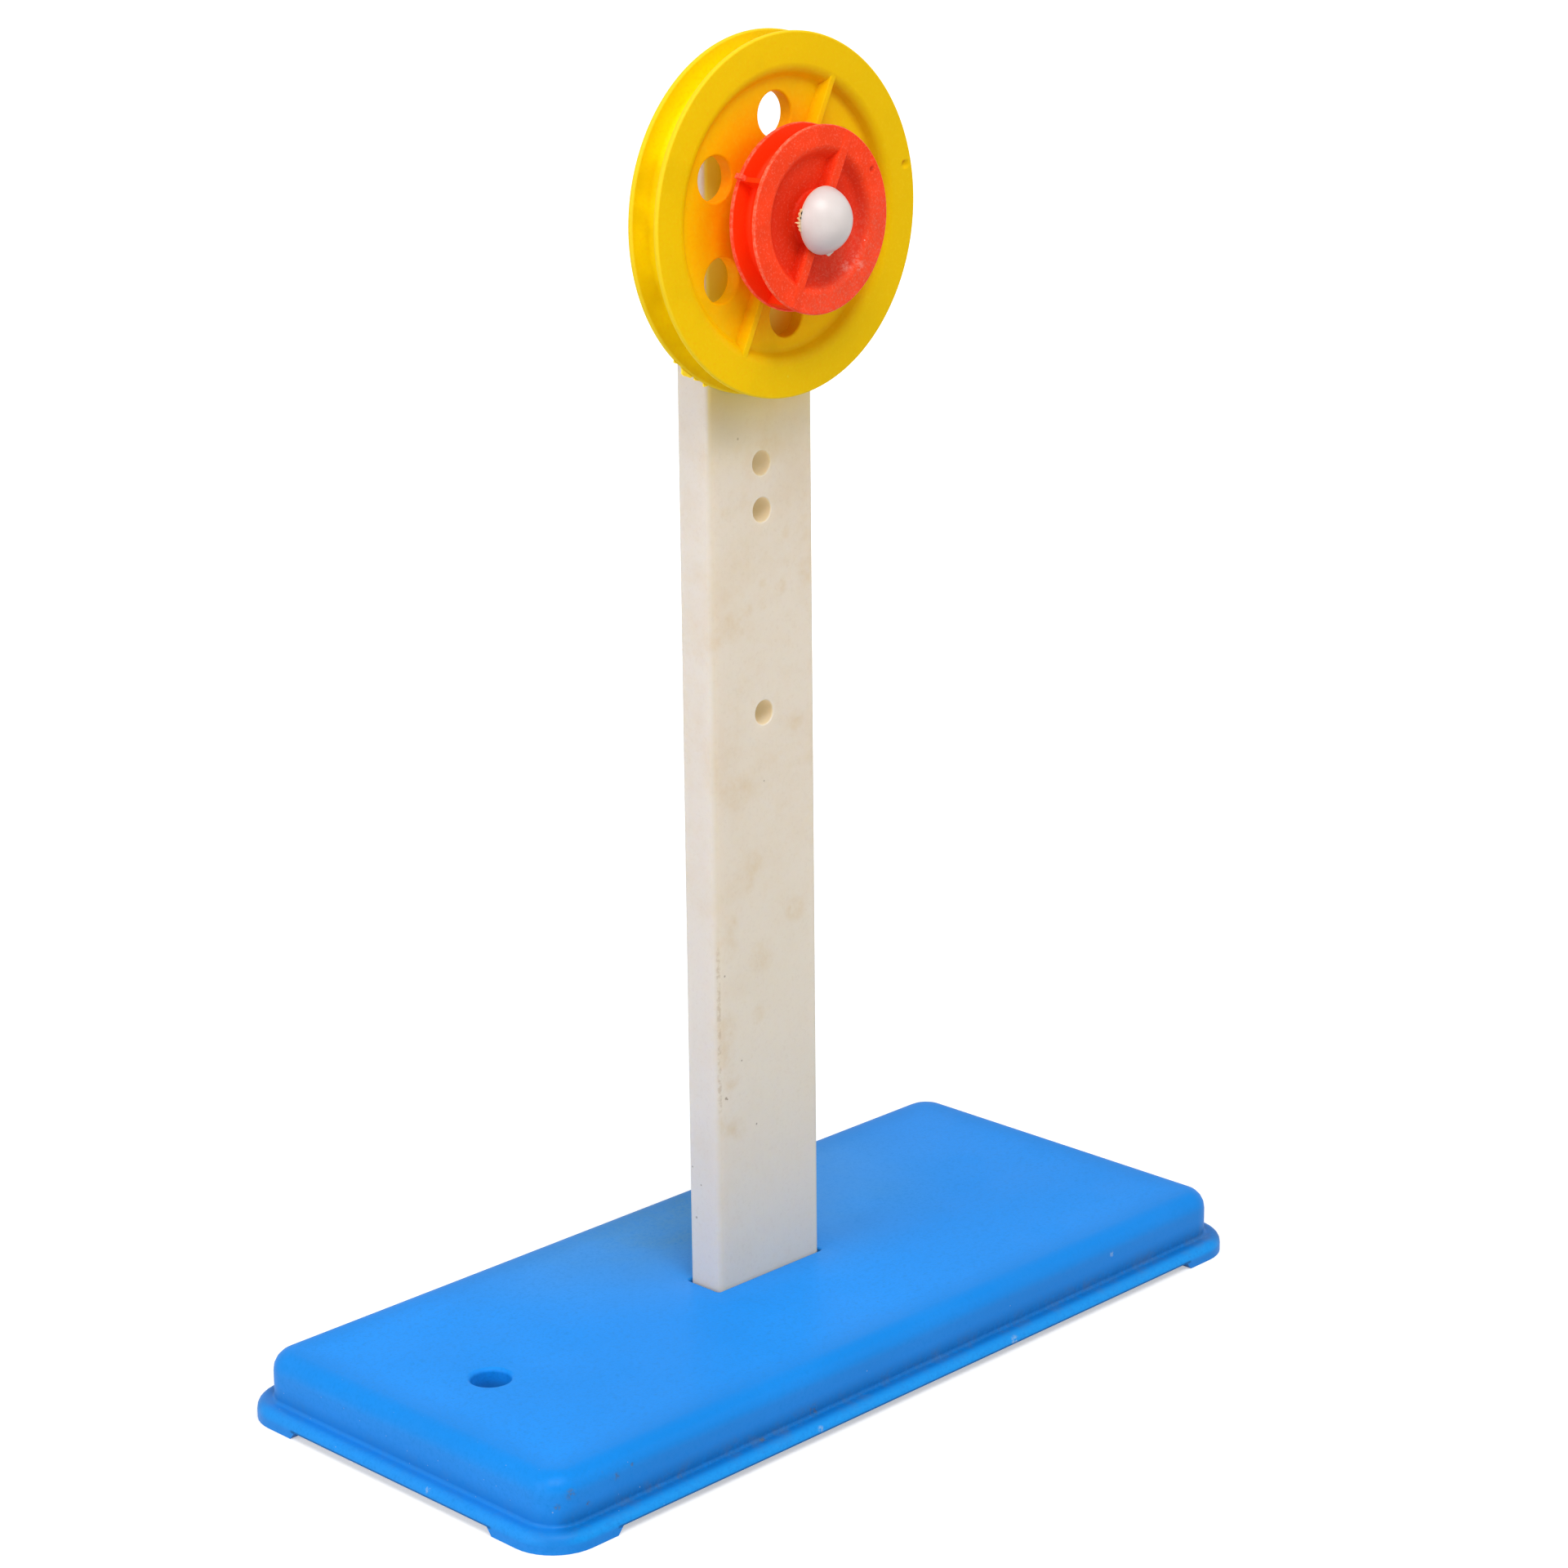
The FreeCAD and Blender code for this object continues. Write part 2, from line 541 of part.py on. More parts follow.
def turn_pulley(body, size, hub_rear, hub_front):
    """The turned blank of a pulley, with its edges rounded and its rib across both faces."""
    section = new_sketch(body, "Section", "XZ_Plane")
    polygon(section, rim_section(size, hub_rear, hub_front))
    revolve(body, section)

    face, web = number(f"{size}_width / 2"), number(f"{size}_web / 2")
    recess = number(f"{size}_recess_diameter / 2")
    recess_floor = number(f"{size}_recess_diameter / 2 - {size}_recess_draft")

    dress(body, "Fillet", "LipRounding", f"{size}_lip_rounding",
          lambda edge: ring_at(edge, recess, face))
    dress(body, "Fillet", "RecessRounding", f"{size}_recess_rounding",
          lambda edge: ring_at(edge, recess_floor, web))

    rib = new_sketch(body, "RibSection", "YZ_Plane")
    root, top = f"({size}_rib_root / 2)", f"({size}_rib_top / 2)"
    level = f"({size}_width / 2 - rib_drop)"
    polygon(rib, ((root, "0"), (top, level), (f"-{top}", level),
                  (f"-{root}", "0"), (f"-{top}", f"-{level}"), (top, f"-{level}")))
    pad(body, rib, "Rib", f"({size}_recess_diameter + 2 * {size}_lip_rounding)", both_ways=True)


def bore_pulley(body):
    bore = new_sketch(body, "BoreOutline")
    circle(bore, f"(2 * {BORE_RADIUS})")
    pocket(body, bore, "Bore")


def stand_on_axle(body, middle):
    """Turn the pulley to face -Y, with its rib at the rib angle, on the axle's height."""
    to_front = FreeCAD.Rotation(Vector(1, 0, 0), 90)
    to_rib = FreeCAD.Rotation(Vector(0, 0, 1), number("rib_angle"))
    body.Placement = FreeCAD.Placement(Vector(0, 0, 0), to_front.multiply(to_rib))
    body.setExpression("Placement.Base.y", bound(middle))
    body.setExpression("Placement.Base.z", bound("axle_height"))


def make_large_pulley():
    body = new_body("large_pulley")
    turn_pulley(body, "large", LARGE_HUB_REAR, "(large_width / 2)")

    seat = new_sketch(body, "WasherSeatOutline", offset=f"-{LARGE_HUB_REAR}")
    circle(seat, "large_hub_diameter")
    pocket(body, seat, "WasherSeat", f"(large_width / 2 - {LARGE_HUB_REAR})")

    key = new_sketch(body, "KeyOutline", offset="large_width / 2")
    double_d(key, "key_diameter", "key_flats")
    pad(body, key, "Key", "key_length")

    hole = new_sketch(body, "WebHoleOutline")
    turn_sketch(hole, "180 / web_hole_count", Vector(0, 0, 1))
    circle(hole, "web_hole_diameter", x="(web_hole_circle / 2)")
    first = pocket(body, hole, "WebHole")
    ring = body.newObject("PartDesign::PolarPattern", "WebHoles")
    ring.Originals = [first]
    ring.Axis = (origin_feature(body, "Z_Axis"), [""])
    ring.Angle = 360
    ring.setExpression("Occurrences", bound("web_hole_count"))
    body.Tip = ring
    finish(body, ring, grows=False)

    bore_pulley(body)
    stand_on_axle(body, LARGE_MIDDLE)
    return body


def make_small_pulley():
    body = new_body("small_pulley")
    turn_pulley(body, "small", "(small_width / 2 + pulley_gap)", "(small_width / 2)")

    fin = new_sketch(body, "FinOutline", "XZ_Plane")
    turn_sketch(fin, "fin_angle", Vector(0, 1, 0))
    root = "(small_diameter / 2 - small_groove_depth - fin_thickness / 2)"
    edge, tab = "(small_diameter / 2 - fin_below_rim)", "(small_diameter / 2 + tab_above_rim)"
    rear, front = "(rim_chamfer - small_width / 2)", "(small_width / 2 - small_rim_tip / 2)"
    polygon(fin, ((root, rear), (tab, rear), (tab, f"{rear} + tab_width"),
                  (edge, f"{rear} + tab_width"), (edge, front), (root, front)))
    pad(body, fin, "Fin", "fin_thickness", both_ways=True)

    socket = new_sketch(body, "KeySocketOutline", offset="-(small_width / 2 + pulley_gap)")
    double_d(socket, "(key_diameter + 2 * key_gap)", "(key_flats + 2 * key_gap)")
    pocket(body, socket, "KeySocket", "key_length + key_end_gap", upwards=True)
    bore_pulley(body)
    stand_on_axle(body, SMALL_MIDDLE)
    return body


# ---------------------------------------------------------------------------------------------
# Axle: a pin with a domed head, a thrust washer and the cap that holds the pin behind the post
# ---------------------------------------------------------------------------------------------
def lay_along_axle(body, place):
    """Turn a piece's Z axis to the front, -Y, and put its own origin at the place on the axle."""
    body.Placement = FreeCAD.Placement(Vector(0, 0, 0), FreeCAD.Rotation(Vector(1, 0, 0), 90))
    body.setExpression("Placement.Base.y", bound(place))
    body.setExpression("Placement.Base.z", bound("axle_height"))


def make_axle_pin():
    """The dome stands on the body's XY plane and the shank runs back from it."""
    body = new_body("axle_pin")
    rim, height = number("head_diameter / 2"), number("head_height")
    radius = (rim**2 + height**2) / (2 * height)
    dome = new_sketch(body, "DomeSection", "XZ_Plane")
    centre = Vector(0, height - radius, 0)
    crown = Part.Circle(centre, Vector(0, 0, 1), radius)
    start = crown.parameter(Vector(rim, 0, 0))
    arc = dome.addGeometry(Part.ArcOfCircle(crown, start, QUARTER_TURN), False)
    corners = (Vector(0, height, 0), Vector(0, 0, 0), Vector(rim, 0, 0))
    axis = dome.addGeometry(Part.LineSegment(corners[0], corners[1]), False)
    seat = dome.addGeometry(Part.LineSegment(corners[1], corners[2]), False)
    for pair in ((arc, 2, axis, 1), (axis, 2, seat, 1), (seat, 2, arc, 1)):
        dome.addConstraint(Sketcher.Constraint("Coincident", *pair))
    dome.addConstraint(Sketcher.Constraint("Coincident", axis, 2, -1, 1))
    dome.addConstraint(Sketcher.Constraint("PointOnObject", arc, 3, -2))
    dome.addConstraint(Sketcher.Constraint("PointOnObject", axis, 1, -2))
    dome.addConstraint(Sketcher.Constraint("PointOnObject", seat, 2, -1))
    constrain(dome, "rim", "head_diameter / 2", "DistanceX", -1, 1, seat, 2)
    constrain(dome, "crown", "head_height", "DistanceY", -1, 1, axis, 1)
    revolve(body, dome, "Dome")

    shank = new_sketch(body, "ShankOutline")
    circle(shank, "axle_diameter")
    length = f"({POST_BACK} + cap_depth - shank_end_gap - {HEAD_SEAT})"
    pad(body, shank, "Shank", length, downwards=True)
    dress(body, "Chamfer", "ShankChamfer", "shank_chamfer", flat_at(-number(length)))
    lay_along_axle(body, HEAD_SEAT)
    return body


def make_thrust_washer():
    body = new_body("thrust_washer")
    outline = new_sketch(body, "Outline")
    circle(outline, "washer_diameter", name="outside")
    circle(outline, "(axle_diameter + 2 * washer_bore_gap)", name="bore")
    pad(body, outline, "Washer", "washer_thickness")
    lay_along_axle(body, POST_FRONT)
    return body


def make_axle_cap():
    body = new_body("axle_cap")
    outline = new_sketch(body, "Outline")
    circle(outline, "cap_diameter")
    pad(body, outline, "Cap", "cap_length", downwards=True)
    dress(body, "Fillet", "EndRounding", "cap_rounding", flat_at(-number("cap_length")))
    bore = new_sketch(body, "BoreOutline")
    circle(bore, "(axle_diameter + 2 * axle_cap_gap)")
    pocket(body, bore, "CapBore", "cap_depth")
    lay_along_axle(body, POST_BACK)
    return body


# ---------------------------------------------------------------------------------------------
# Post screws: up through the socket's floor into the post's end
# ---------------------------------------------------------------------------------------------
def make_post_screw(name, place):
    """The screw's own origin is the underside of its head, and it points up."""
    body = new_body(name)
    section = new_sketch(body, "Section", "XZ_Plane")
    thread = "(screw_diameter / 2)"
    polygon(section, (
        ("0", "-screw_head_height"), ("(screw_head_diameter / 2)", "-screw_head_height"),
        ("(screw_head_diameter / 2)", "0"), (thread, "0"),
        (thread, "(screw_length - screw_tip)"), ("0", "screw_length"),
    ))
    revolve(body, section)
    head_top = flat_at(-number("screw_head_height"))
    dress(body, "Fillet", "HeadRounding", "screw_head_rounding", head_top)
    for turn, (length, width) in enumerate((
        ("screw_recess_length", "screw_recess_width"), ("screw_recess_width", "screw_recess_length"),
    )):
        arm = new_sketch(body, f"RecessOutline{turn}", offset="-screw_head_height")
        rectangle(arm, length, width)
        pocket(body, arm, f"Recess{turn}", "screw_recess_depth", upwards=True)
    body.setExpression("Placement.Base.x", bound(place))
    body.setExpression("Placement.Base.y", bound("post_setback"))
    body.setExpression("Placement.Base.z", bound("socket_lift"))
    return body


def make_all():
    pieces = [
        make_base(), make_post(), make_large_pulley(), make_small_pulley(),
        make_axle_pin(), make_thrust_washer(), make_axle_cap(),
    ]
    for name, place in (
        ("post_screw_left", "-screw_spacing / 2"), ("post_screw_right", "screw_spacing / 2"),
    ):
        pieces.append(make_post_screw(name, place))
    return pieces


def check(pieces):
    """Stop if any object failed or any piece isn't one good solid."""
    doc.recompute()
    for item in doc.Objects:
        if "Invalid" in item.State or "Error" in item.State:
            raise RuntimeError(f"{item.Name} failed: {item.State}")
    for piece in pieces:
        shape = piece.Shape
        if shape.isNull() or not shape.isValid() or len(shape.Solids) != 1:
            raise RuntimeError(f"{piece.Label} isn't one good solid")


def export(pieces):
    os.makedirs("parts", exist_ok=True)
    for piece in pieces:
        piece.Shape.exportStep(os.path.join("parts", f"{piece.Label}.step"))
        box = piece.Shape.BoundBox
        print(f"{piece.Label:18s} {piece.Shape.Volume:10.1f} mm3  "
              f"x {box.XMin:.2f} {box.XMax:.2f}  y {box.YMin:.2f} {box.YMax:.2f}  "
              f"z {box.ZMin:.2f} {box.ZMax:.2f}")


all_pieces = make_all()
check(all_pieces)
export(all_pieces)
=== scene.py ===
"""Pulley demonstrator for Blender: the shapes that show, their finishes and a plain stage.

Metres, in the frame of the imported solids: +Z up, X along the base, the pulleys on the post's
-Y side.
"""

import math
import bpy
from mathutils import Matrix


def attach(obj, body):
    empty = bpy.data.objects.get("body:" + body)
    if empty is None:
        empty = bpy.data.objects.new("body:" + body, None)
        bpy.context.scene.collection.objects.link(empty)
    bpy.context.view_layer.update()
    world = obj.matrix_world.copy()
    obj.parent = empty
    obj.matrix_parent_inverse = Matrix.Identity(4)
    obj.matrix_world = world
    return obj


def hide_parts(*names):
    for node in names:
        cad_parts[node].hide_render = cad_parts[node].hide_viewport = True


bl_info = {
    "name": "Pulley Demonstrator",
    "version": (1, 0, 0),
    "blender": (4, 5, 0),
    "location": "View3D > Sidebar > Pulley",
    "description": "Builds a pulley demonstrator's pieces, finishes and stage",
    "category": "Add Mesh",
}

import bmesh
import bpy
from bmesh.types import BMEdge, BMFace, BMVert
from bpy.props import FloatProperty, FloatVectorProperty, PointerProperty
from mathutils import Matrix, Vector

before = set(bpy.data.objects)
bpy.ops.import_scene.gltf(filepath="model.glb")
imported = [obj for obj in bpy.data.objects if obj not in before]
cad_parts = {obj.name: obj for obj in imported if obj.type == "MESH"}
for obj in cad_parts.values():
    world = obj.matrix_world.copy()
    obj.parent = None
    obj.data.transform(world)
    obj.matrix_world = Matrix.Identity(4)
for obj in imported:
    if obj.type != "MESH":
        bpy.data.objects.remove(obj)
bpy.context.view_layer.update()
MM = 0.001
NEAR = 1e-6  # lengths that differ by less, in metres, are equal


# --------------------------------------------------------------------------------------------
# Settings
# --------------------------------------------------------------------------------------------
def length(name, millimetres, description):
    """A length setting: given in millimetres, kept in metres."""
    return FloatProperty(name=name, description=description, default=millimetres * MM,
                         unit="LENGTH", precision=5)


def degrees(name, value, description):
    """An angle setting: given in degrees, kept in radians."""
    return FloatProperty(name=name, description=description, default=math.radians(value),
                         subtype="ANGLE", unit="ROTATION")


def linear(red, green, blue):
    """A display colour, 0 to 255 each, in Blender's linear values."""
    return tuple(((c / 255 + 0.055) / 1.055) ** 2.4 if c > 10 else c / 255 / 12.92
                 for c in (red, green, blue))


def colour(name, red, green, blue, description):
    """A colour setting: given as a display colour, kept linear."""
    return FloatVectorProperty(name=name, description=description, subtype="COLOR",
                               default=linear(red, green, blue), min=0, max=1)


class BaseSizes(bpy.types.PropertyGroup):
    length: length("Length", 208, "Length of the tray without its flange")
    width: length("Width", 92, "Width of the tray without its flange")
    height: length("Height", 14.5, "Table to the deck")
    corner: length("Corner radius", 7, "Plan radius of the tray's corners")
    deck_rounding: length("Deck rounding", 4.2, "Rounding between deck and walls")
    wall: length("Wall", 2.4, "Thickness of the walls")
    deck: length("Deck", 2.6, "Thickness of the deck")
    flange: length("Flange", 3.75, "How far the flange stands out")
    flange_height: length("Flange height", 4, "Table to the flange's top")
    flange_rounding: length("Flange rounding", 2.1, "Rounding of the flange's top edge")
    crease: length("Crease", 0.8, "Rounding between wall and flange")
    lift: length("Lift", 1.7, "Table to the lower edge between the feet")
    foot_wall: length("Foot wall", 3, "Thickness of the corner feet")
    foot_long: length("Foot, long side", 17.6, "Foot along the long sides")
    foot_short: length("Foot, short side", 18, "Foot along the short sides")
    foot_draft: length("Foot draft", 1.4, "How much shorter a foot is at the table")
    soft: length("Soft edge", 0.3, "Rounding of the lower edges inside the tray")
    rib: length("Rib", 1.8, "Thickness of the ribs under the deck")
    rib_depth: length("Rib depth", 4.5, "How far the ribs hang down")
    rib_offset: length("Long rib place", 22, "Long ribs to the middle")
    rib_pitch: length("Cross rib pitch", 35, "Spacing of the cross ribs")
    hole: length("Hole", 4.3, "Radius of the round hole")
    hole_x: length("Hole place", -79.5, "The round hole along the base")
    hole_mouth: length("Hole mouth", 0.9, "Rounding of the round hole's mouth")
    boss: length("Boss", 2.4, "Wall of the boss round the hole")
    socket_wall: length("Socket wall", 2.2, "Wall of the post's socket")
    socket_lift: length("Socket lift", 2, "Table to the socket's underside")
    socket_floor: length("Socket floor", 2, "Thickness of the socket's floor")
    slot_side: length("Slot side gap", 0.15, "Slot to the post's broad faces")
    slot_end: length("Slot end gap", 0.7, "Slot to the post's narrow faces")
    slot_corner: length("Slot corner", 0.6, "Plan radius of the slot's corners")
    slot_mouth: length("Slot mouth", 0.5, "Rounding of the slot's mouth")
    dip: length("Dip", 0.3, "How far the deck dips to the slot")
    dip_width: length("Dip width", 5.5, "Width of the dip round the slot")
    dip_rounding: length("Dip rounding", 2, "Rounding where the dip starts")


class PostSizes(bpy.types.PropertyGroup):
    width: length("Width", 31, "Across the broad face")
    thickness: length("Thickness", 9.5, "Front to back")
    setback: length("Setback", 1.75, "The post's middle behind the base's")
    foot: length("Foot", 4, "Table to the post's lower end")
    top: length("Top", 262, "Table to the post's top")
    rounding: length("Rounding", 1.2, "Rounding of the upright edges")
    end_rounding: length("End rounding", 0.9, "Rounding round the top")
    axle: length("Axle height", 248.5, "Table to the axle")
    high: length("High hole", 196, "Table to the highest spare hole")
    middle: length("Middle hole", 186, "Table to the middle spare hole")
    low: length("Low hole", 142, "Table to the lowest spare hole")
    hole: length("Hole", 2.65, "Radius of the axle holes")
    hole_mouth: length("Hole mouth", 0.3, "Rounding of the holes' mouths")


class LargePulleySizes(bpy.types.PropertyGroup):
    radius: length("Radius", 37.49, "Outer radius")
    half_width: length("Half width", 4.3, "Middle plane to a face of the rim")
    groove: length("Groove depth", 5, "Depth of the cord groove")
    groove_floor: length("Groove floor", 2.25, "Half the width of the groove's floor")
    tip: length("Flange tip", 1.2, "Thickness of a flange at its edge")
    recess: length("Recess", 29.7, "Radius of the recess in a face")
    recess_draft: length("Recess draft", 1.6, "How much the recess narrows")
    web: length("Web", 1.65, "Half the thickness of the web")
    hub: length("Hub", 7.5, "Radius of the hub")
    bore: length("Bore", 2.56, "Radius of the bore")
    hub_rear: length("Hub rear", 3.8, "Middle plane to the hub's rear face")
    hub_root: length("Hub root", 0.8, "How far back the rounding between hub and web starts")
    hub_edge: length("Hub edge", 0.4, "The same for the hub's edges")
    middle: length("Middle plane", -7.7, "The pulley's place along Y")
    key: length("Key", 4.4, "Radius of the key")
    key_flat: length("Key flat", 3.4, "Axis to a flat of the key")
    key_end: length("Key end", 8.8, "Middle plane to the key's end")
    key_edge: length("Key edge", 0.3, "How far back the rounding of the key's end starts")
    hole: length("Web hole", 4.7, "Radius of the web holes")
    hole_mouth: length("Web hole mouth", 0.45, "Rounding of the web holes' mouths")
    hole_circle: length("Hole circle", 20.7, "Radius of the circle of web holes")
    rib_root: length("Rib root", 1.5, "Half the rib's width at the web")
    rib_top: length("Rib top", 0.75, "Half the rib's width at its top")
    rib_height: length("Rib height", 4.2, "Middle plane to the rib's top")
    rib_reach: length("Rib reach", 31.4, "Axis to the rib's ends")
    rib_edge: length("Rib edge", 0.3, "Rounding of the rib's crest")
    lip: length("Lip", 1.5, "How far back the rounding of the recess's lip starts")
    floor_corner: length("Floor corner", 0.7, "The same for the corner of the recess's floor")
    edge: length("Edge", 0.45, "The same for the rim's edges")
    groove_corner: length("Groove corner", 1.2, "The same for the corners of the groove")
    gate: length("Gate", 35.4, "Axis to the dimple of the moulding gate")
    gate_turn: degrees("Gate turn", 12, "The dimple, from the horizontal")
    gate_radius: length("Gate radius", 1.0, "Radius of the dimple")
    gate_depth: length("Gate depth", 0.6, "Depth of the dimple")
    flash: length("Flash", 0.35, "Thickness of the torn slivers of flash")


class SmallPulleySizes(bpy.types.PropertyGroup):
    radius: length("Radius", 19.3, "Outer radius")
    half_width: length("Half width", 3.7, "Middle plane to a face of the rim")
    groove: length("Groove depth", 4, "Depth of the cord groove")
    groove_floor: length("Groove floor", 2.15, "Half the width of the groove's floor")
    tip: length("Flange tip", 1, "Thickness of a flange at its edge")
    recess: length("Recess", 14.7, "Radius of the recess in a face")
    recess_draft: length("Recess draft", 2.3, "How much the recess narrows")
    web: length("Web", 1.2, "Half the thickness of the web")
    hub: length("Hub", 5.7, "Radius of the hub")
    bore: length("Bore", 2.56, "Radius of the bore")
    hub_rear: length("Hub rear", 5.4, "Middle plane to the hub's rear face")
    hub_root: length("Hub root", 0.6, "How far back the rounding between hub and web starts")
    hub_edge: length("Hub edge", 0.4, "The same for the hub's front edge")
    hub_rear_edge: length("Hub rear edge", 0.2, "The same for the hub's rear edge")
    middle: length("Middle plane", -17.4, "The pulley's place along Y")
    socket: length("Socket", 4.48, "Radius of the key's socket")
    socket_flat: length("Socket flat", 3.48, "Axis to a flat of the socket")
    socket_end: length("Socket end", -0.6, "Middle plane to the socket's floor")
    rib_root: length("Rib root", 1.45, "Half the rib's width at the web")
    rib_top: length("Rib top", 1.1, "Half the rib's width at its top")
    rib_height: length("Rib height", 3.8, "Middle plane to the rib's top")
    rib_reach: length("Rib reach", 18.9, "Axis to the rib's ends")
    rib_edge: length("Rib edge", 0.25, "Rounding of the rib's crest")
    lip: length("Lip", 0.6, "How far back the rounding of the recess's lip starts")
    floor_corner: length("Floor corner", 0.6, "The same for the corner of the recess's floor")
    edge: length("Edge", 0.35, "The same for the rim's edges")
    groove_corner: length("Groove corner", 0.8, "The same for the corners of the groove")
    gate: length("Gate", 17.3, "Axis to the dimple of the moulding gate")
    gate_turn: degrees("Gate turn", 31, "The dimple, from the horizontal")
    gate_radius: length("Gate radius", 0.7, "Radius of the dimple")
    gate_depth: length("Gate depth", 0.5, "Depth of the dimple")
    fin: length("Fin", 1.0, "Thickness of the moulding fin")
    fin_turn: degrees("Fin turn", 86, "The moulding fin, from the rib")
    fin_drop: length("Fin drop", 0.5, "Rim's edge to the fin's edge")
    tab: length("Tab", 1.2, "How far the fin's tab stands out from the rim")
    tab_width: length("Tab width", 1.9, "Width of the fin's tab")
    tab_corner: length("Tab corner", 0.3, "How far back the rounding of the tab's corners starts")
    tab_crest: length("Tab crest", 0.4, "The same for the tab's front corner")


class AxleSizes(bpy.types.PropertyGroup):
    rib_turn: degrees("Rib turn", 64, "Both pulleys' ribs, from the horizontal")
    head: length("Head", 7, "Radius of the domed head")
    head_height: length("Head height", 5.5, "Height of the dome")
    head_edge: length("Head edge", 0.35, "Rounding round the head's rear face")
    flash: length("Flash", 0.3, "Thickness of the torn flash round the head")
    flash_inset: length("Flash inset", 0.15, "How far inside the head's edge the flash starts")
    flash_place: length("Flash place", 0.2, "The head's rear face to the middle of the flash")
    seat: length("Head seat", -21.5, "The head's rear face along Y")
    shank: length("Shank", 2.5, "Radius of the shank")
    shank_end: length("Shank end", 9.7, "The shank's end along Y")
    shank_root: length("Shank root", 0.5, "How far the shank reaches into the head")
    shank_edge: length("Shank edge", 0.5, "How far back the rounding of the shank's end starts")


class Finishes(bpy.types.PropertyGroup):
    blue: colour("Base", 4, 143, 242, "Blue of the base")
    # Also paints the highlights on the base's near corner
    dust: colour("Dust", 150, 182, 214, "Pale dust on the base")
    # Also paints shade in the crease over the flange
    dirt: colour("Dirt", 100, 100, 74, "Olive dirt in corners")
    dull: colour("Dull patch", 104, 146, 152, "Greyed film on the base behind the post")
    # Painted light: the flange's lighter blue
    sky: colour("Flange", 8, 158, 245, "Paler blue of the flange")
    ivory: colour("Post", 225, 214, 197, "Ivory of the post")
    pale: colour("Post's narrow faces", 225, 217, 210, "Cooler ivory of the post's narrow faces")
    grey: colour("Post foot", 225, 215, 197, "Paler ivory at the post's foot")
    # Also paints shade in the post's bores
    stain: colour("Stain", 172, 134, 78, "Brown in holes and along edges")
    tan: colour("Tan", 206, 174, 118, "Tan of old soft stains")
    yellow: colour("Large pulley", 238, 194, 0, "Yellow of the large pulley")
    # Also paints coloured light near the hub and shade along the lip and in the gate
    amber: colour("Large pulley's hub", 255, 108, 0, "Amber of the yellow near the hub")
    # Painted light: the lighter yellow of the web
    sun: colour("Large pulley's web", 255, 206, 0, "Warmer yellow of its web")
    leaf: colour("Large pulley's groove", 255, 224, 0, "Greener yellow of its cord groove")
    # Also paints the highlight on the large pulley's rim edges and yellow light on the post
    lemon: colour("Yellow edges", 250, 222, 60, "Paler yellow of worn edges")
    red: colour("Small pulley", 255, 66, 24, "Red of the small pulley")
    # Painted shade: the deeper red of the recess and the gate's dimple
    crimson: colour("Small pulley's recess", 218, 40, 12, "Deeper red of its recess")
    ember: colour("Small pulley's groove", 255, 54, 2, "Hotter red of its cord groove")
    # Also paints the highlight on the small pulley's rim edges
    pink: colour("Red edges", 255, 140, 116, "Paler red of worn edges and grain")
    blush: colour("Red scuffs", 255, 196, 180, "Palest red of scuffs and specks")
    seep: colour("Seeping light", 120, 112, 82, "Light that the post's holes let through")
    gold: colour("Yellow light", 120, 61, 0, "Light that the large pulley lets through")
    olive: colour("Green light", 88, 84, 0, "The same light further left")
    glow: colour("Orange light", 94, 32, 0, "Light that its web lets through near the small pulley")
    white: colour("Pin", 215, 205, 201, "White of the pin's head")
    cream: colour("Pin's flash", 236, 196, 142, "Yellowed flash round the pin's head")
    zinc: colour("Screws", 190, 190, 186, "Zinc plate")


class Stage(bpy.types.PropertyGroup):
    azimuth: degrees("Azimuth", -45.59, "Camera round the object, from -Y towards +X")
    elevation: degrees("Elevation", 14.665, "Camera above the horizon")
    roll: degrees("Roll", -0.51, "Camera about its own axis")
    distance: length("Distance", 825.01, "Camera to the point it looks at")
    focus_x: length("Look at X", 13.224, "The point that the camera looks at, along X")
    focus_z: length("Look at Z", 145.45, "The point that the camera looks at, above the table")
    lens: FloatProperty(name="Lens", description="Focal length on a 36 mm sensor",
                        default=87.944, unit="CAMERA")
    shift_x: FloatProperty(name="Shift X", description="Picture centre across", default=-0.0086)
    shift_y: FloatProperty(name="Shift Y", description="Picture centre up", default=-0.0647)


class PulleyDemonstrator(bpy.types.PropertyGroup):
    base: PointerProperty(type=BaseSizes, name="Base", description="Sizes of the tray")
    post: PointerProperty(type=PostSizes, name="Post", description="Sizes of the post")
    large: PointerProperty(type=LargePulleySizes, name="Large pulley",
                           description="Sizes of the yellow pulley")
    small: PointerProperty(type=SmallPulleySizes, name="Small pulley",
                           description="Sizes of the red pulley")
    axle: PointerProperty(type=AxleSizes, name="Axle", description="Sizes of the pin")
    finishes: PointerProperty(type=Finishes, name="Finishes", description="Colours")
    stage: PointerProperty(type=Stage, name="Stage", description="Place of the camera")


# --------------------------------------------------------------------------------------------
# Shapes
# --------------------------------------------------------------------------------------------
SHARP = math.radians(40)  # edges that turn by more stay sharp
DECK_RING = 2.4 * MM  # the deck's outer ring, inside its rounding
SLOT_RING = 3 * MM  # the ring of deck that comes with the slot's dip
HOLE_RING = 1.8 * MM  # the ring of deck that comes with the round hole
BOSS_SQUARE = 8 * MM  # half the square that is opened for the boss
POST_SQUARE = 4.6 * MM  # half the square that is opened for an axle hole
POST_RING = 4 * MM  # outer radius of the ring that comes with an axle hole
HUB_RING = 1.2 * MM  # the ring of web that comes with the hub
WEB_RING = 0.2 * MM  # the ring of web that comes with the rim or a web hole
RIB_ROOT = 1.5 * MM  # how far the large pulley's rib starts inside the hub


def close(a, b):
    """Whether two lengths agree."""
    return abs(a - b) < NEAR


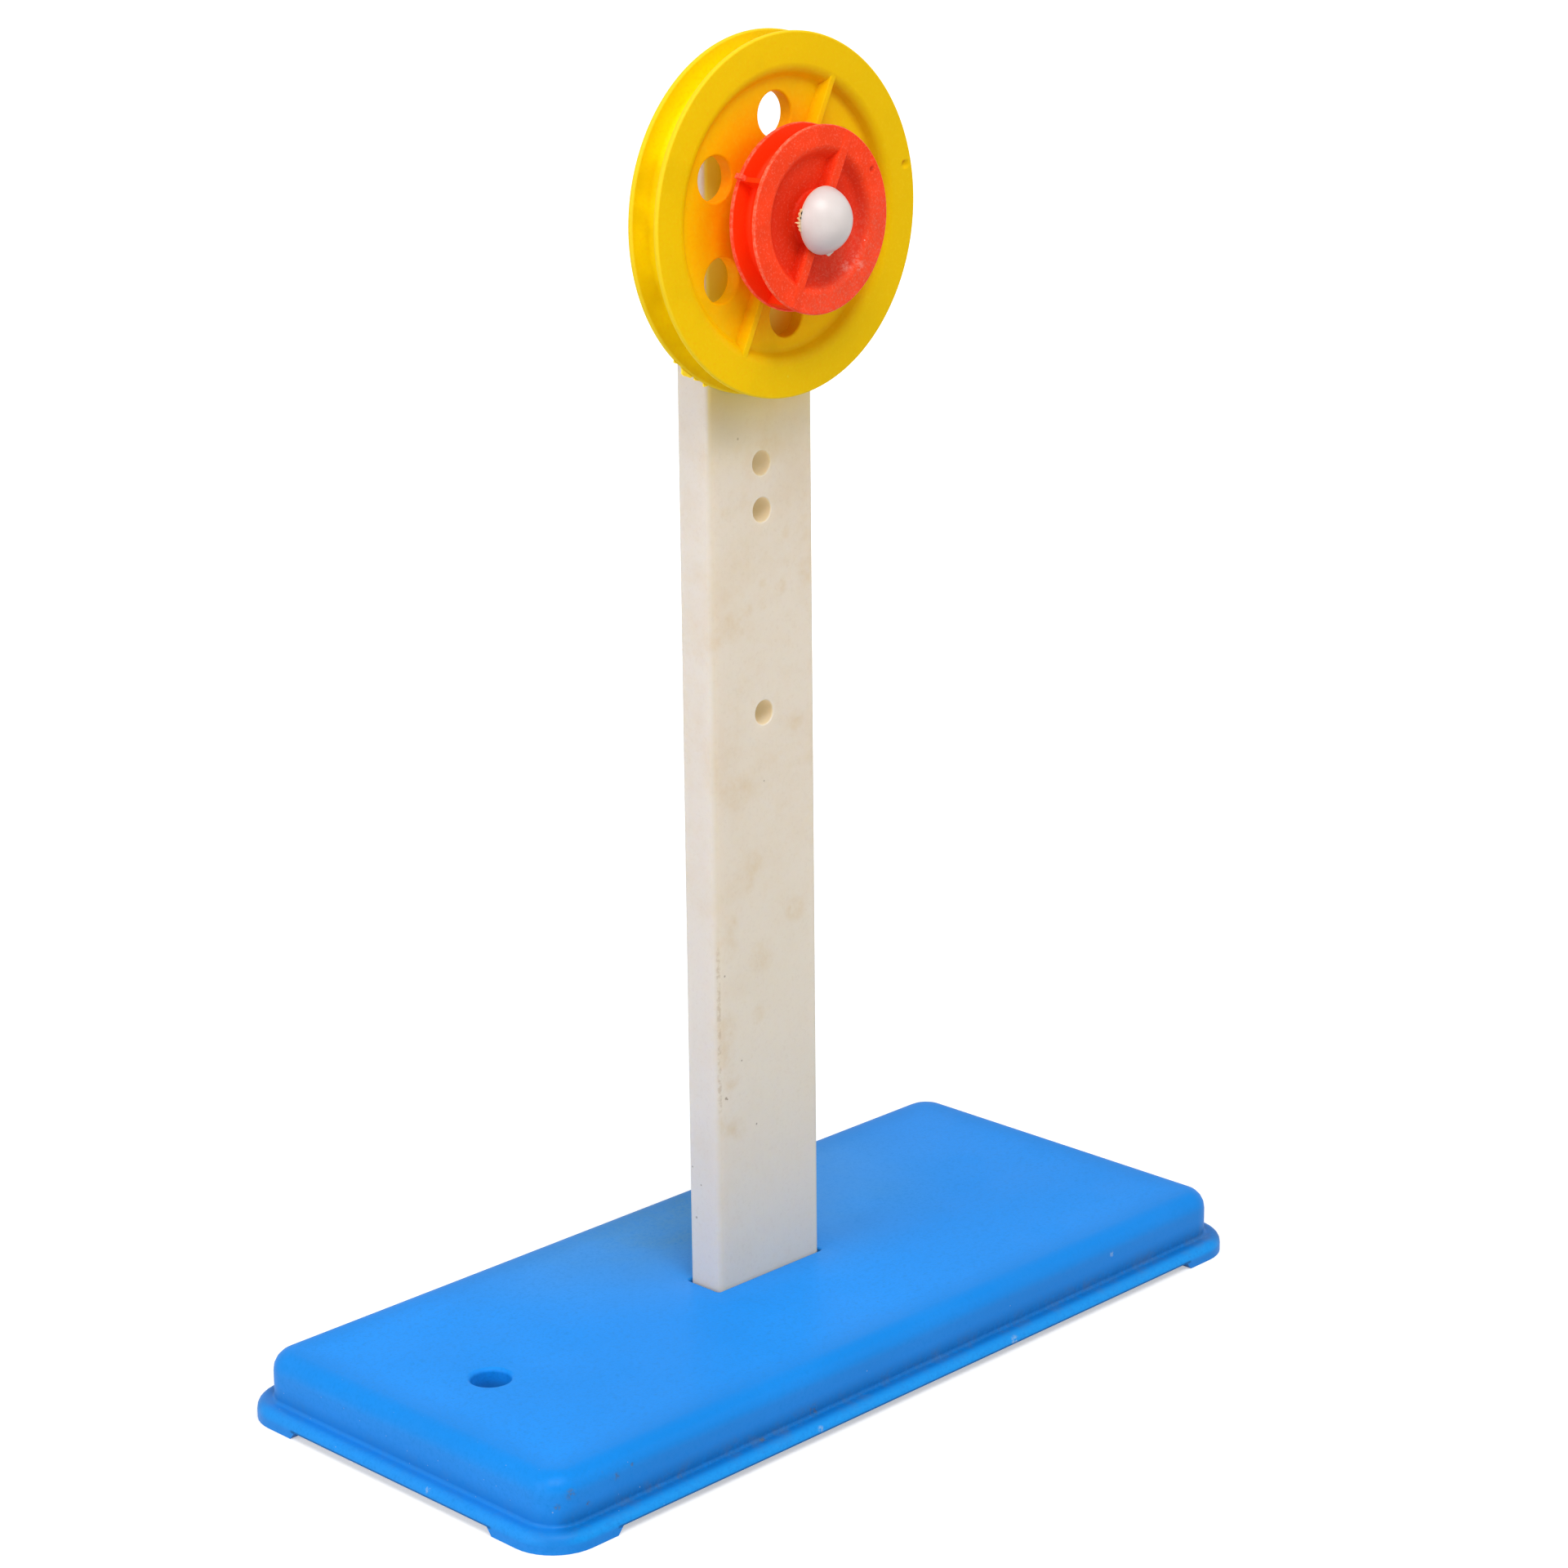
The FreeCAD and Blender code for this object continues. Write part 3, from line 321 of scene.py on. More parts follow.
def only(items, kind):
    """The vertices, edges or faces among some items."""
    return [item for item in items if isinstance(item, kind)]


def lies_at(item, place, axis=2):
    """Whether an edge or a face lies flat at one place on an axis."""
    return all(close(vert.co[axis], place) for vert in item.verts)


def round_edges(bm, edges, offset, segments):
    """Rounds edges, and the corners that they share."""
    bmesh.ops.bevel(bm, geom=edges, offset=offset, segments=segments, profile=0.5,
                    affect="EDGES", material=-1)


def chain(bm, corners, closed=False, steps=5):
    """Edges through corners in the XZ plane: x, z and how far back a corner's rounding starts."""
    before = set(bm.edges)
    verts = [bm.verts.new((corner[0], 0, corner[1])) for corner in corners]
    ends = verts[1:] + verts[:1] if closed else verts[1:]
    for pair in zip(verts, ends):
        bm.edges.new(pair)
    for vert, corner in zip(verts, corners):
        if len(corner) == 3:
            bmesh.ops.bevel(bm, geom=[vert], offset=corner[2], segments=steps, profile=0.5,
                            affect="VERTICES", material=-1)
    edges = [edge for edge in bm.edges if edge not in before]
    return edges + list({vert for edge in edges for vert in edge.verts})


def turned(bm, corners, around, closed=False, steps=5):
    """A chain spun right round the Z axis. Returns its vertices."""
    before = set(bm.verts)
    profile = chain(bm, corners, closed, steps)
    bmesh.ops.spin(bm, geom=profile, cent=(0, 0, 0), axis=(0, 0, 1), angle=math.tau,
                   steps=around, use_merge=True)
    return [vert for vert in bm.verts if vert not in before]


def carried_round(bm, corners, half_x, half_y, radius, side_steps=6, corner_steps=10):
    """A chain carried round a rectangle with round corners. Returns its vertices."""
    before = set(bm.verts)
    last = chain(bm, corners)
    reach_x, reach_y = half_x - radius, half_y - radius
    bmesh.ops.translate(bm, verts=only(last, BMVert), vec=(0, -reach_y, 0))
    runs = ((0, 2 * reach_y), (-2 * reach_x, 0), (0, -2 * reach_y), (2 * reach_x, 0))
    for (sx, sy), (dx, dy) in zip(((1, 1), (-1, 1), (-1, -1), (1, -1)), runs):
        stride = (dx / side_steps, dy / side_steps, 0)
        last = bmesh.ops.spin(bm, geom=last, cent=(0, 0, 0), axis=(0, 0, 1), dvec=stride,
                              angle=0, steps=side_steps)["geom_last"]
        last = bmesh.ops.spin(bm, geom=last, cent=(sx * reach_x, sy * reach_y, 0),
                              axis=(0, 0, 1), angle=math.pi / 2,
                              steps=corner_steps)["geom_last"]
    made = [vert for vert in bm.verts if vert not in before]
    bmesh.ops.remove_doubles(bm, verts=made, dist=NEAR)
    return [vert for vert in bm.verts if vert not in before]


def is_open(edge):
    """Whether a face is missing beside an edge."""
    return len(edge.link_faces) < 2


def open_at(bm, height):
    """The open edges that lie at one height."""
    return [edge for edge in bm.edges if is_open(edge) and lies_at(edge, height)]


def cap(bm, edges):
    """One face inside a loop of edges."""
    return bmesh.ops.contextual_create(bm, geom=edges)["faces"]


def fill(bm, edges):
    """Flat faces between an outer loop and the loops inside it."""
    return only(bmesh.ops.triangle_fill(bm, use_beauty=True, edges=edges)["geom"], BMFace)


def cut(bm, faces, point, normal):
    """Cuts faces along a plane. Returns all their parts."""
    edges = {edge for face in faces for edge in face.edges}
    verts = {vert for face in faces for vert in face.verts}
    parts = bmesh.ops.bisect_plane(bm, geom=[*faces, *edges, *verts], dist=NEAR,
                                   plane_co=point, plane_no=normal)["geom"]
    return only(parts, BMFace)


def push(bm, faces, vector, solid=False):
    """Extrudes faces together, and keeps the first ones for a solid. Returns the moved vertices."""
    moved = only(bmesh.ops.extrude_face_region(bm, geom=faces)["geom"], BMVert)
    bmesh.ops.translate(bm, verts=moved, vec=vector)
    if not solid:
        bmesh.ops.delete(bm, geom=faces, context="FACES")
    return moved


def window(bm, faces, centre, half):
    """Takes a square, flat along the axis where half is 0, out of faces and halves its sides."""
    for axis in range(3):
        if half[axis]:
            for sign in (-1, 1):
                point, normal = Vector(centre), Vector((0, 0, 0))
                point[axis] += sign * half[axis]
                normal[axis] = 1
                faces = cut(bm, faces, point, normal)
    inside = [face for face in faces if all(
        not half[axis] or abs(face.calc_center_median()[axis] - centre[axis]) < half[axis]
        for axis in range(3))]
    edges = {edge for face in inside for edge in face.edges}
    outline = [edge for edge in edges
               if sum(face in inside for face in edge.link_faces) == 1]
    bmesh.ops.delete(bm, geom=inside, context="FACES")
    bmesh.ops.subdivide_edges(bm, edges=outline, cuts=1)


def rib(bm, wheel, start):
    """A pulley's rib: a bar along X on each side of the hub, widest in its middle plane."""
    for turn in (0, math.pi):
        before = set(bm.verts)
        made = bmesh.ops.create_cube(bm, size=1)["verts"]
        bmesh.ops.scale(bm, verts=made, vec=(wheel.rib_reach - start, 2 * wheel.rib_root,
                                             2 * wheel.rib_height))
        bmesh.ops.translate(bm, verts=made, vec=((wheel.rib_reach + start) / 2, 0, 0))
        cut(bm, list({face for vert in made for face in vert.link_faces}), (0, 0, 0), (0, 0, 1))
        tops = [vert for vert in bm.verts if vert not in before and not close(vert.co.z, 0)]
        bmesh.ops.scale(bm, verts=tops, vec=(1, wheel.rib_top / wheel.rib_root, 1))
        crests = [edge for edge in bm.edges
                  if edge.verts[0] in tops and edge.verts[1] in tops
                  and close(edge.verts[0].co.y, edge.verts[1].co.y)
                  and close(edge.verts[0].co.z, edge.verts[1].co.z)]
        round_edges(bm, crests, wheel.rib_edge, 3)
        made = [vert for vert in bm.verts if vert not in before]
        bmesh.ops.rotate(bm, verts=made, cent=(0, 0, 0), matrix=Matrix.Rotation(turn, 3, "Z"))


def plate(bm, corners, thickness):
    """A plate in the XZ plane with the outline of the corners. Returns its vertices."""
    before = set(bm.verts)
    outline = chain(bm, corners, closed=True, steps=3)
    push(bm, cap(bm, only(outline, BMEdge)), (0, thickness, 0), solid=True)
    made = [vert for vert in bm.verts if vert not in before]
    bmesh.ops.translate(bm, verts=made, vec=(0, -thickness / 2, 0))
    return made


def flash(bm, radius, level, thickness, teeth, start=0):
    """Torn slivers round a rim: degrees from the start, half width and height in millimetres."""
    for place, half, height in teeth:
        turn, half, height = math.radians(place) - start, half * MM, height * MM
        root = radius - 2 * thickness
        outline = ((-half, root), (-half * 0.9, radius), (-half * 0.7, radius + height * 0.5),
                   (-half * 0.2, radius + height * 0.7), (half * 0.2, radius + height),
                   (half * 0.6, radius + height * 0.9), (half * 0.8, radius + height * 0.3),
                   (half, radius), (half, root))
        made = plate(bm, outline, thickness)
        to_rim = (Matrix.Rotation(turn - math.pi / 2, 3, "Z")
                  @ Matrix.Rotation(-math.pi / 2, 3, "X"))
        bmesh.ops.rotate(bm, verts=made, cent=(0, 0, 0), matrix=to_rim)
        bmesh.ops.translate(bm, verts=made, vec=(0, 0, level))


def dimple(bm, place, radius, depth):
    """A round hollow in the flat face that lies under a point."""
    def near(point, reach):
        return close(point.z, place.z) and (point - place).length < reach

    faces = [face for face in bm.faces if near(face.calc_center_median(), 1.6 * radius)
             and lies_at(face, place.z)]
    edges = list({edge for face in faces for edge in face.edges})
    bmesh.ops.subdivide_edges(bm, edges=edges, cuts=7, use_grid_fill=True)
    for vert in bm.verts:
        if near(vert.co, radius):
            vert.co.z -= depth * (1 - ((vert.co - place).length / radius)**2)


def piece(name, bm, body, node, material):
    """Closes a mesh, turns its faces outwards and gives it its place among the solids."""
    bmesh.ops.remove_doubles(bm, verts=bm.verts, dist=NEAR)
    bmesh.ops.recalc_face_normals(bm, faces=bm.faces)
    for face in bm.faces:
        face.smooth = True
    mesh = bpy.data.meshes.new(name)
    bm.to_mesh(mesh)
    bm.free()
    mesh.set_sharp_from_angle(angle=SHARP)
    mesh.materials.append(material)
    made = bpy.data.objects.new(name, mesh)
    bpy.context.scene.collection.objects.link(made)
    weighted = made.modifiers.new("Even normals", "WEIGHTED_NORMAL")
    weighted.keep_sharp = True
    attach(made, body)
    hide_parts(node)


def repaint(names, material):
    """Gives a finish to solids that are shown as they are."""
    for name in names:
        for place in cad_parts[name].material_slots:
            place.material = material


# --------------------------------------------------------------------------------------------
# Finishes
# --------------------------------------------------------------------------------------------
class Signal:
    """A socket that takes part in sums: each operator adds a Math node."""

    def __init__(self, nodes, socket):
        self.nodes, self.socket = nodes, socket

    def sum(self, operation, *values):
        return self.nodes.add("ShaderNodeMath", {"operation": operation},
                              dict(enumerate(values)))

    def __add__(self, other):
        return self.sum("ADD", self, other)

    def __radd__(self, other):
        return self.sum("ADD", other, self)

    def __sub__(self, other):
        return self.sum("SUBTRACT", self, other)

    def __rsub__(self, other):
        return self.sum("SUBTRACT", other, self)

    def __mul__(self, other):
        return self.sum("MULTIPLY", self, other)

    def __rmul__(self, other):
        return self.sum("MULTIPLY", other, self)

    def __abs__(self):
        return self.sum("ABSOLUTE", self)

    def root(self):
        return self.sum("SQRT", self)

    def larger(self, other):
        return self.sum("MAXIMUM", self, other)


class Nodes:
    """The node tree of a material or a world, under construction."""

    def __init__(self, owner):
        owner.use_nodes = True
        self.tree = owner.node_tree
        self.tree.nodes.clear()

    def add(self, kind, settings=None, sockets=None, output=0):
        """Any node: its type, its settings, the values or links of its sockets, its output."""
        node = self.tree.nodes.new(kind)
        for name, value in (settings or {}).items():
            setattr(node, name, value)
        for key, value in (sockets or {}).items():
            if isinstance(value, Signal):
                self.tree.links.new(value.socket, node.inputs[key])
            else:
                node.inputs[key].default_value = value
        return Signal(self, node.outputs[output]) if len(node.outputs) else None


class Paint(Nodes):
    """A material under construction, with the place of each point in object coordinates."""

    def __init__(self, name):
        self.material = bpy.data.materials.new(name)
        super().__init__(self.material)
        self.place = self.add("ShaderNodeTexCoord", output="Object")
        outputs = self.add("ShaderNodeSeparateXYZ", sockets={0: self.place}).socket.node.outputs
        self.x, self.y, self.z = (Signal(self, output) for output in outputs)

    def moved(self, offset=(0, 0, 0), turn=(0, 0, 0), scale=(1, 1, 1)):
        """Object coordinates, moved, turned and stretched."""
        return self.add("ShaderNodeMapping", {}, {"Vector": self.place, "Location": offset,
                                                  "Rotation": turn, "Scale": scale})

    def noise(self, size, detail=2.0, roughness=0.5, place=None):
        """Noise from 0 to 1 with features of about the given size."""
        return self.add("ShaderNodeTexNoise", {}, {
            "Vector": place or self.place, "Scale": 1 / size, "Detail": detail,
            "Roughness": roughness})

    def step(self, value, start, end):
        """0 before start and 1 after end, with a smooth rise between them."""
        return self.add("ShaderNodeMapRange", {"interpolation_type": "SMOOTHSTEP"},
                        {0: value, 1: start, 2: end, 3: 0.0, 4: 1.0})

    def far(self, point, stretch=(1, 1, 1)):
        """Distance from a point, with each axis stretched."""
        offset = tuple(-c * s for c, s in zip(point, stretch))
        moved = self.moved(offset, scale=stretch)
        return self.add("ShaderNodeVectorMath", {"operation": "LENGTH"}, {0: moved},
                        output="Value")

    def spot(self, point, radius, soft, stretch=(1, 1, 1)):
        """1 within a radius of a point, fading out over soft."""
        return 1 - self.step(self.far(point, stretch), radius - soft, radius)

    def marks(self, places):
        """Soft round marks: the place and radius of each in millimetres."""
        return sum(self.spot((x * MM, y * MM, z * MM), radius * MM, 0.7 * radius * MM)
                   for x, y, z, radius in places)

    def specks(self, size, radius, share, place=None):
        """Small round marks: one in each cell of the given size, in a share of the cells."""
        distance = self.add("ShaderNodeTexVoronoi", {"feature": "F1"}, {
            "Vector": place or self.place, "Scale": 1 / size}, "Distance")
        cell = Signal(self, distance.socket.node.outputs["Color"])
        chance = self.add("ShaderNodeSeparateColor", {}, {0: cell})
        chosen = self.step(chance, 1 - share, 1 - share + 0.02)
        return (1 - self.step(distance, radius / size * 0.5, radius / size)) * chosen

    def scratches(self, width, length, share, turn):
        """Fine lines in one direction."""
        place = self.moved(turn=turn, scale=(width / length, 1, 1))
        lines = self.noise(width * 6, detail=1.0, place=place)
        return self.step(abs(lines - 0.5), 0.006, 0.0) * self.step(
            self.noise(length), 1 - share, 1 - share + 0.1)

    def mix(self, first, second, factor, blend="MIX"):
        """Two colours mixed."""
        settings = {"data_type": "RGBA", "blend_type": blend, "clamp_factor": True}
        values = {0: factor}
        for key, value in ((6, first), (7, second)):
            values[key] = value if isinstance(value, Signal) else (*value, 1)
        return self.add("ShaderNodeMix", settings, values, output=2)

    def finish(self, colour, roughness, height, depth, **others):
        """The shader: colour, roughness and a bump of the given depth vary over the surface."""
        bump = self.add("ShaderNodeBump", {}, {"Height": height, "Distance": depth,
                                               "Strength": 1.0})
        sockets = {"Base Color": colour, "Roughness": roughness, "Normal": bump}
        sockets.update({name.replace("_", " "): value for name, value in others.items()})
        shader = self.add("ShaderNodeBsdfPrincipled", {}, sockets)
        self.add("ShaderNodeOutputMaterial", {}, {"Surface": shader})
        return self.material


def times(colour, factor):
    """A colour made lighter or darker."""
    return tuple(c * factor for c in colour)


GRAIN_DEPTH = 0.2 * MM  # height of the bumps in the coloured plastics
PIN_GRAIN_DEPTH = 0.05 * MM
ZINC_GRAIN_DEPTH = 0.03 * MM
BLACK, WHITE = (0, 0, 0), (1, 1, 1)
FROM_Y_LINE = (1, 0, 1)  # stretch that measures distances from a line along Y
FROM_Z_LINE = (1, 1, 0)  # the same for a line along Z

# Marks of age, painted highlights and painted shade in gate dimples: x, y and z of each and its
# radius, all in mm
BASE_DIRT = (
    (-99, -46, 10.8, 1.7), (-86.9, -46, 10.3, 1.1), (-90.2, -46, 12.6, 0.8),
    (-82.5, -46, 11.4, 0.7), (-94.7, -46, 7.5, 0.8), (-46.4, -46.5, 4, 1.1),
    (-70, -46.5, 4.4, 0.9), (-30.9, -46, 5.2, 1.8), (-101.5, -44.5, 8.4, 1))
# Painted highlights on the deck's near corner
BASE_HIGHLIGHTS = ((-103.2, -42.4, 13.8, 1.5), (-102.2, -43.4, 13.9, 1.7), (-101.2, -44.4, 13.8, 1.5))
BASE_SCUFFS = (
    (28.7, -49.7, 2.4, 1.5), (-32.4, -49.7, 2.6, 1.1), (66, -46, 10, 0.9), (-107, -12, 3, 1))
POST_STAINS = (
    (0.3, -3, 170.4, 1.9), (5.1, -3, 168.6, 2.6), (13.8, -3, 170.5, 4.4), (0, -3, 165.8, 1.8),
    (-4.7, -3, 165.2, 2.2), (-8.8, -3, 162.5, 4.6), (-14.2, -3, 160.6, 3.4), (7, -3, 180, 1.7),
    (7.4, -3, 174, 1.8), (-10.9, -3, 187, 2), (8.8, -3, 138.4, 4), (-3.6, -3, 109, 4.4),
    (-5.4, -3, 105, 2.6), (-12.2, -3, 92, 4.4), (-10.5, -3, 97, 3), (-3.1, -3, 74.8, 2.8),
    (-11.4, -3, 62, 3.4), (9, -3, 96, 4), (-8.5, -3, 126, 6), (-12.5, -3, 74, 5), (-2, -3, 88, 5),
    (-9, -3, 50, 3.4), (-12.8, -3, 68, 4), (-12.8, -3, 52, 4), (2, -3, 199, 5))
POST_DOTS = (
    (-6.9, -3, 202.1, 0.4), (-12.9, -3, 86, 0.35), (-13, -3, 58.2, 0.5), (-12.6, -3, 57.9, 0.3),
    (-8.1, -3, 65.6, 0.3), (-3.8, -3, 49.8, 0.35), (-0.3, -3, 126.9, 0.25),
    (-15.5, 4.2, 29.4, 0.4), (-15.5, 2.6, 37.4, 0.3), (-15.5, 5.2, 41, 0.3))
# Painted shade in the large pulley's gate dimple
YELLOW_GATE_SHADE = ((34.3, -12, 256.2, 0.9),)
# Painted shade in the small pulley's gate dimple
RED_GATE_SHADE = ((14.8, -21.1, 257.4, 0.8),)
RED_SCUFFS = ((9.6, -21.1, 240.4, 2.4), (11.1, -21.1, 238, 1.6), (8.2, -20.3, 238.4, 2))


def blue_finish(s):
    """The base: faded film and soiling over blue, painted shade at its edges, walls and crease and
    over the table, and painted light on its flange and near corner.
    """
    paint, tint = Paint("Blue moulded plastic"), s.finishes
    blue, dust, dirt = tint.blue, tint.dust, tint.dirt
    clouds = paint.step(paint.noise(0.05, 3), 0.3, 0.7)
    tone = paint.mix(times(blue, 0.94), times(blue, 1.04), clouds)
    film = paint.step(paint.noise(0.03, 5, 0.65), 0.42, 0.75)
    # Painted shade: the base darker towards +X
    tone = paint.mix(tone, times(blue, 0.78), 0.3 * paint.step(paint.x, -0.02, 0.04))
    shade = times(blue, 0.45)
    out = (abs(paint.x) - s.base.length / 2).larger(abs(paint.y) - s.base.width / 2)
    walls = 1 - paint.step(paint.z, 0.0105, 0.0125)
    dull = paint.spot((0.014, 0.04, s.base.height), 0.062, 0.05, (0.75, 1, 1)) * (1 - walls)
    # Dust and film on the deck, painted shade towards its edges and on the walls
    tone = paint.mix(tone, dust, 0.03 * film)
    tone = paint.mix(tone, tint.dull, dull * (0.28 + 0.22 * film))
    edge = paint.step(out, -0.012, -0.002) * (1 - walls)
    # Painted shade and the flange's painted light are weaker at the left end, whose wall is greyer
    less_at_left_end = 1 - 0.6 * paint.step(-1 * paint.x, 0.099, 0.104)
    tone = paint.mix(tone, shade, 0.26 * edge + 0.23 * walls * less_at_left_end)
    tone = paint.mix(tone, dirt, 0.08 * walls)
    tone = paint.mix(tone, tint.dull, 0.05 * (1 - less_at_left_end))
    # Painted light on the flange, and painted shade in the crease over it
    flange = paint.step(out, 0.001, 0.003) * paint.step(paint.z, 0.0014, 0.0026)
    tone = paint.mix(tone, tint.sky, 0.7 * flange * less_at_left_end)
    drop = paint.z - s.base.flange_height
    crease = (out * out + drop * drop).root()
    near_crease = (1 - paint.step(crease, 0.0004, 0.0045)) * less_at_left_end
    tone = paint.mix(tone, shade, 0.8 * near_crease)
    # Grain, dirt with painted shade in the crease, pits and scuffs
    fine = paint.step(paint.noise(0.0006, 2, 0.6), 0.45, 0.75)
    grain = fine + paint.step(paint.noise(0.0013, 3, 0.7), 0.45, 0.75)
    tone = paint.mix(tone, times(blue, 0.75), 0.38 * grain)
    crease_shade_and_dirt = near_crease * paint.step(paint.noise(0.006, 5, 0.7), 0.45, 0.7)
    ragged = paint.step(paint.noise(0.0009, 4, 0.75), 0.44, 0.6)
    soiled = paint.marks(BASE_DIRT) * ragged
    tone = paint.mix(tone, dirt, 0.25 * crease_shade_and_dirt + 0.5 * soiled)
    near_corner = 1 - paint.step(paint.x, -0.09, -0.05)
    pits = paint.specks(0.0035, 0.00022, 0.22) * walls
    fine_pits = paint.specks(0.0016, 0.00015, 0.2) * near_corner
    pits = pits.larger(fine_pits * paint.step(out, -0.006, 0))
    scuffs = paint.marks(BASE_SCUFFS) * ragged
    # Paler pits and scuffs, and painted highlights on the deck's near corner
    tone = paint.mix(tone, dust, 0.55 * pits + 0.7 * scuffs + 0.13 * paint.marks(BASE_HIGHLIGHTS))
    # Painted shade: the dark line over the table, between the feet
    over_table = paint.step(paint.z, 0.0014, 0.0016) * (1 - paint.step(paint.z, 0.0019, 0.0022))
    at_feet = paint.step(abs(paint.x), 0.0895, 0.0905) * paint.step(abs(paint.y), 0.031, 0.032)
    tone = paint.mix(tone, times(blue, 0.3), 0.75 * over_table * (1 - at_feet))
    lines = paint.scratches(0.00018, 0.03, 0.35, (0, 0, 0.5))
    rough = 0.4 + 0.1 * paint.noise(0.02, 4) + 0.1 * film + 0.25 * soiled - 0.06 * lines
    height = (0.2 * paint.noise(0.014, 2) + 0.05 * paint.noise(0.0006, 2) - 0.04 * lines
              - 0.3 * soiled - 0.2 * pits)
    return paint.finish(tone, rough, height, GRAIN_DEPTH, Specular_IOR_Level=0.14)


def ivory_finish(s):
    """The post: old stains over ivory, painted shade along its upright edges, in its bores and
    under the large pulley, and the light that holes and the large pulley let in.
    """
    paint, tint = Paint("Ivory moulded plastic"), s.finishes
    ivory, grey, stain = tint.ivory, tint.grey, tint.stain
    warm = paint.step(paint.z + 0.02 * paint.noise(0.05), 0.07, 0.15)
    tone = paint.mix(grey, ivory, warm)
    wash = paint.step(paint.noise(0.022, 5, 0.62), 0.44, 0.74)
    fog = paint.step(paint.noise(0.007, 5, 0.7), 0.42, 0.72)
    sides = paint.step(abs(paint.x), s.post.width / 2 - 0.0008, s.post.width / 2 - 0.0001)
    tone = paint.mix(tone, tint.pale, 0.7 * sides)
    tone = paint.mix(tone, tint.tan, (0.2 * wash + 0.13 * fog) * (0.4 + 0.6 * warm))
    grain = paint.noise(0.0009, 3, 0.7)
    tone = paint.mix(tone, times(stain, 0.8), 0.07 * paint.step(grain, 0.5, 0.75))
    ragged = paint.step(paint.noise(0.004, 5, 0.7), 0.3, 0.75)
    stained = paint.marks(POST_STAINS) * ragged
    face = s.post.setback - s.post.thickness / 2
    # Painted shade along the upright edges, and a brown streak along the torn one
    for side in (-1, 1):
        corner = paint.far((side * s.post.width / 2, face, 0), FROM_Z_LINE)
        tone = paint.mix(tone, times(ivory, 0.72), 0.35 * (1 - paint.step(corner, 0.0004, 0.0014)))
    left_edge = (0.0008 - s.post.width / 2, face + 0.0001, 0)
    streak = 1 - paint.step(paint.far(left_edge, FROM_Z_LINE), 0.0002, 0.0007)
    span = paint.step(paint.z, 0.05, 0.06) * (1 - paint.step(paint.z, 0.085, 0.1))
    torn = paint.step(paint.noise(0.0014, 5, 0.75), 0.46, 0.58)
    tone = paint.mix(tone, tint.tan, 0.36 * stained)
    tone = paint.mix(tone, times(stain, 0.7), 0.32 * streak * span * torn)
    dots = paint.specks(0.008, 0.00025, 0.2)
    tone = paint.mix(tone, times(stain, 0.35), 0.25 * dots + 0.6 * paint.marks(POST_DOTS))
    # Painted shade in the bores
    bore = 1
    for height in (s.post.high, s.post.middle, s.post.low):
        away = paint.far((0, s.post.setback, height), FROM_Y_LINE)
        bore = bore * paint.step(away, s.post.hole * 0.99, s.post.hole * 1.03)
    tone = paint.mix(stain, tone, 0.65 + 0.35 * bore)
    # Shade and coloured light by the large pulley
    from_axle = paint.far((0, s.post.setback, s.post.axle), FROM_Y_LINE)
    front = 1 - paint.step(paint.y, face + 0.0001, face + 0.0006)
    sheltered = paint.step(paint.z, 0.197, 0.204) * (1 - paint.step(paint.x, -0.011, 0))
    tone = paint.mix(tone, times(ivory, 0.62), 0.4 * front * sheltered)
    below = front * (1 - paint.step(from_axle, 0.03, 0.058))
    tone = paint.mix(tone, tint.lemon, 0.42 * below)
    behind = front * (1 - paint.step(from_axle, 0.02, 0.046))
    rear = paint.step(paint.y, s.post.setback, s.post.setback + 0.0035)
    light = paint.mix(tint.seep, BLACK, bore.larger(rear))
    tone = paint.mix(tone, (0.92, 1, 0.45), behind, "MULTIPLY")
    let_through = paint.mix(tint.olive, tint.gold, paint.step(paint.x, -0.004, 0.01))
    light = paint.mix(light, let_through, behind)
    rough = 0.45 + 0.12 * paint.noise(0.01, 4)
    height = 0.25 * paint.noise(0.008, 2) + 0.06 * paint.noise(0.0008, 2) - 0.1 * dots
    return paint.finish(tone, rough, height, GRAIN_DEPTH, Specular_IOR_Level=0.25,
                        Emission_Color=light, Emission_Strength=1.0, Subsurface_Weight=0.5,
                        Subsurface_Radius=(1.0, 0.75, 0.45), Subsurface_Scale=0.004)


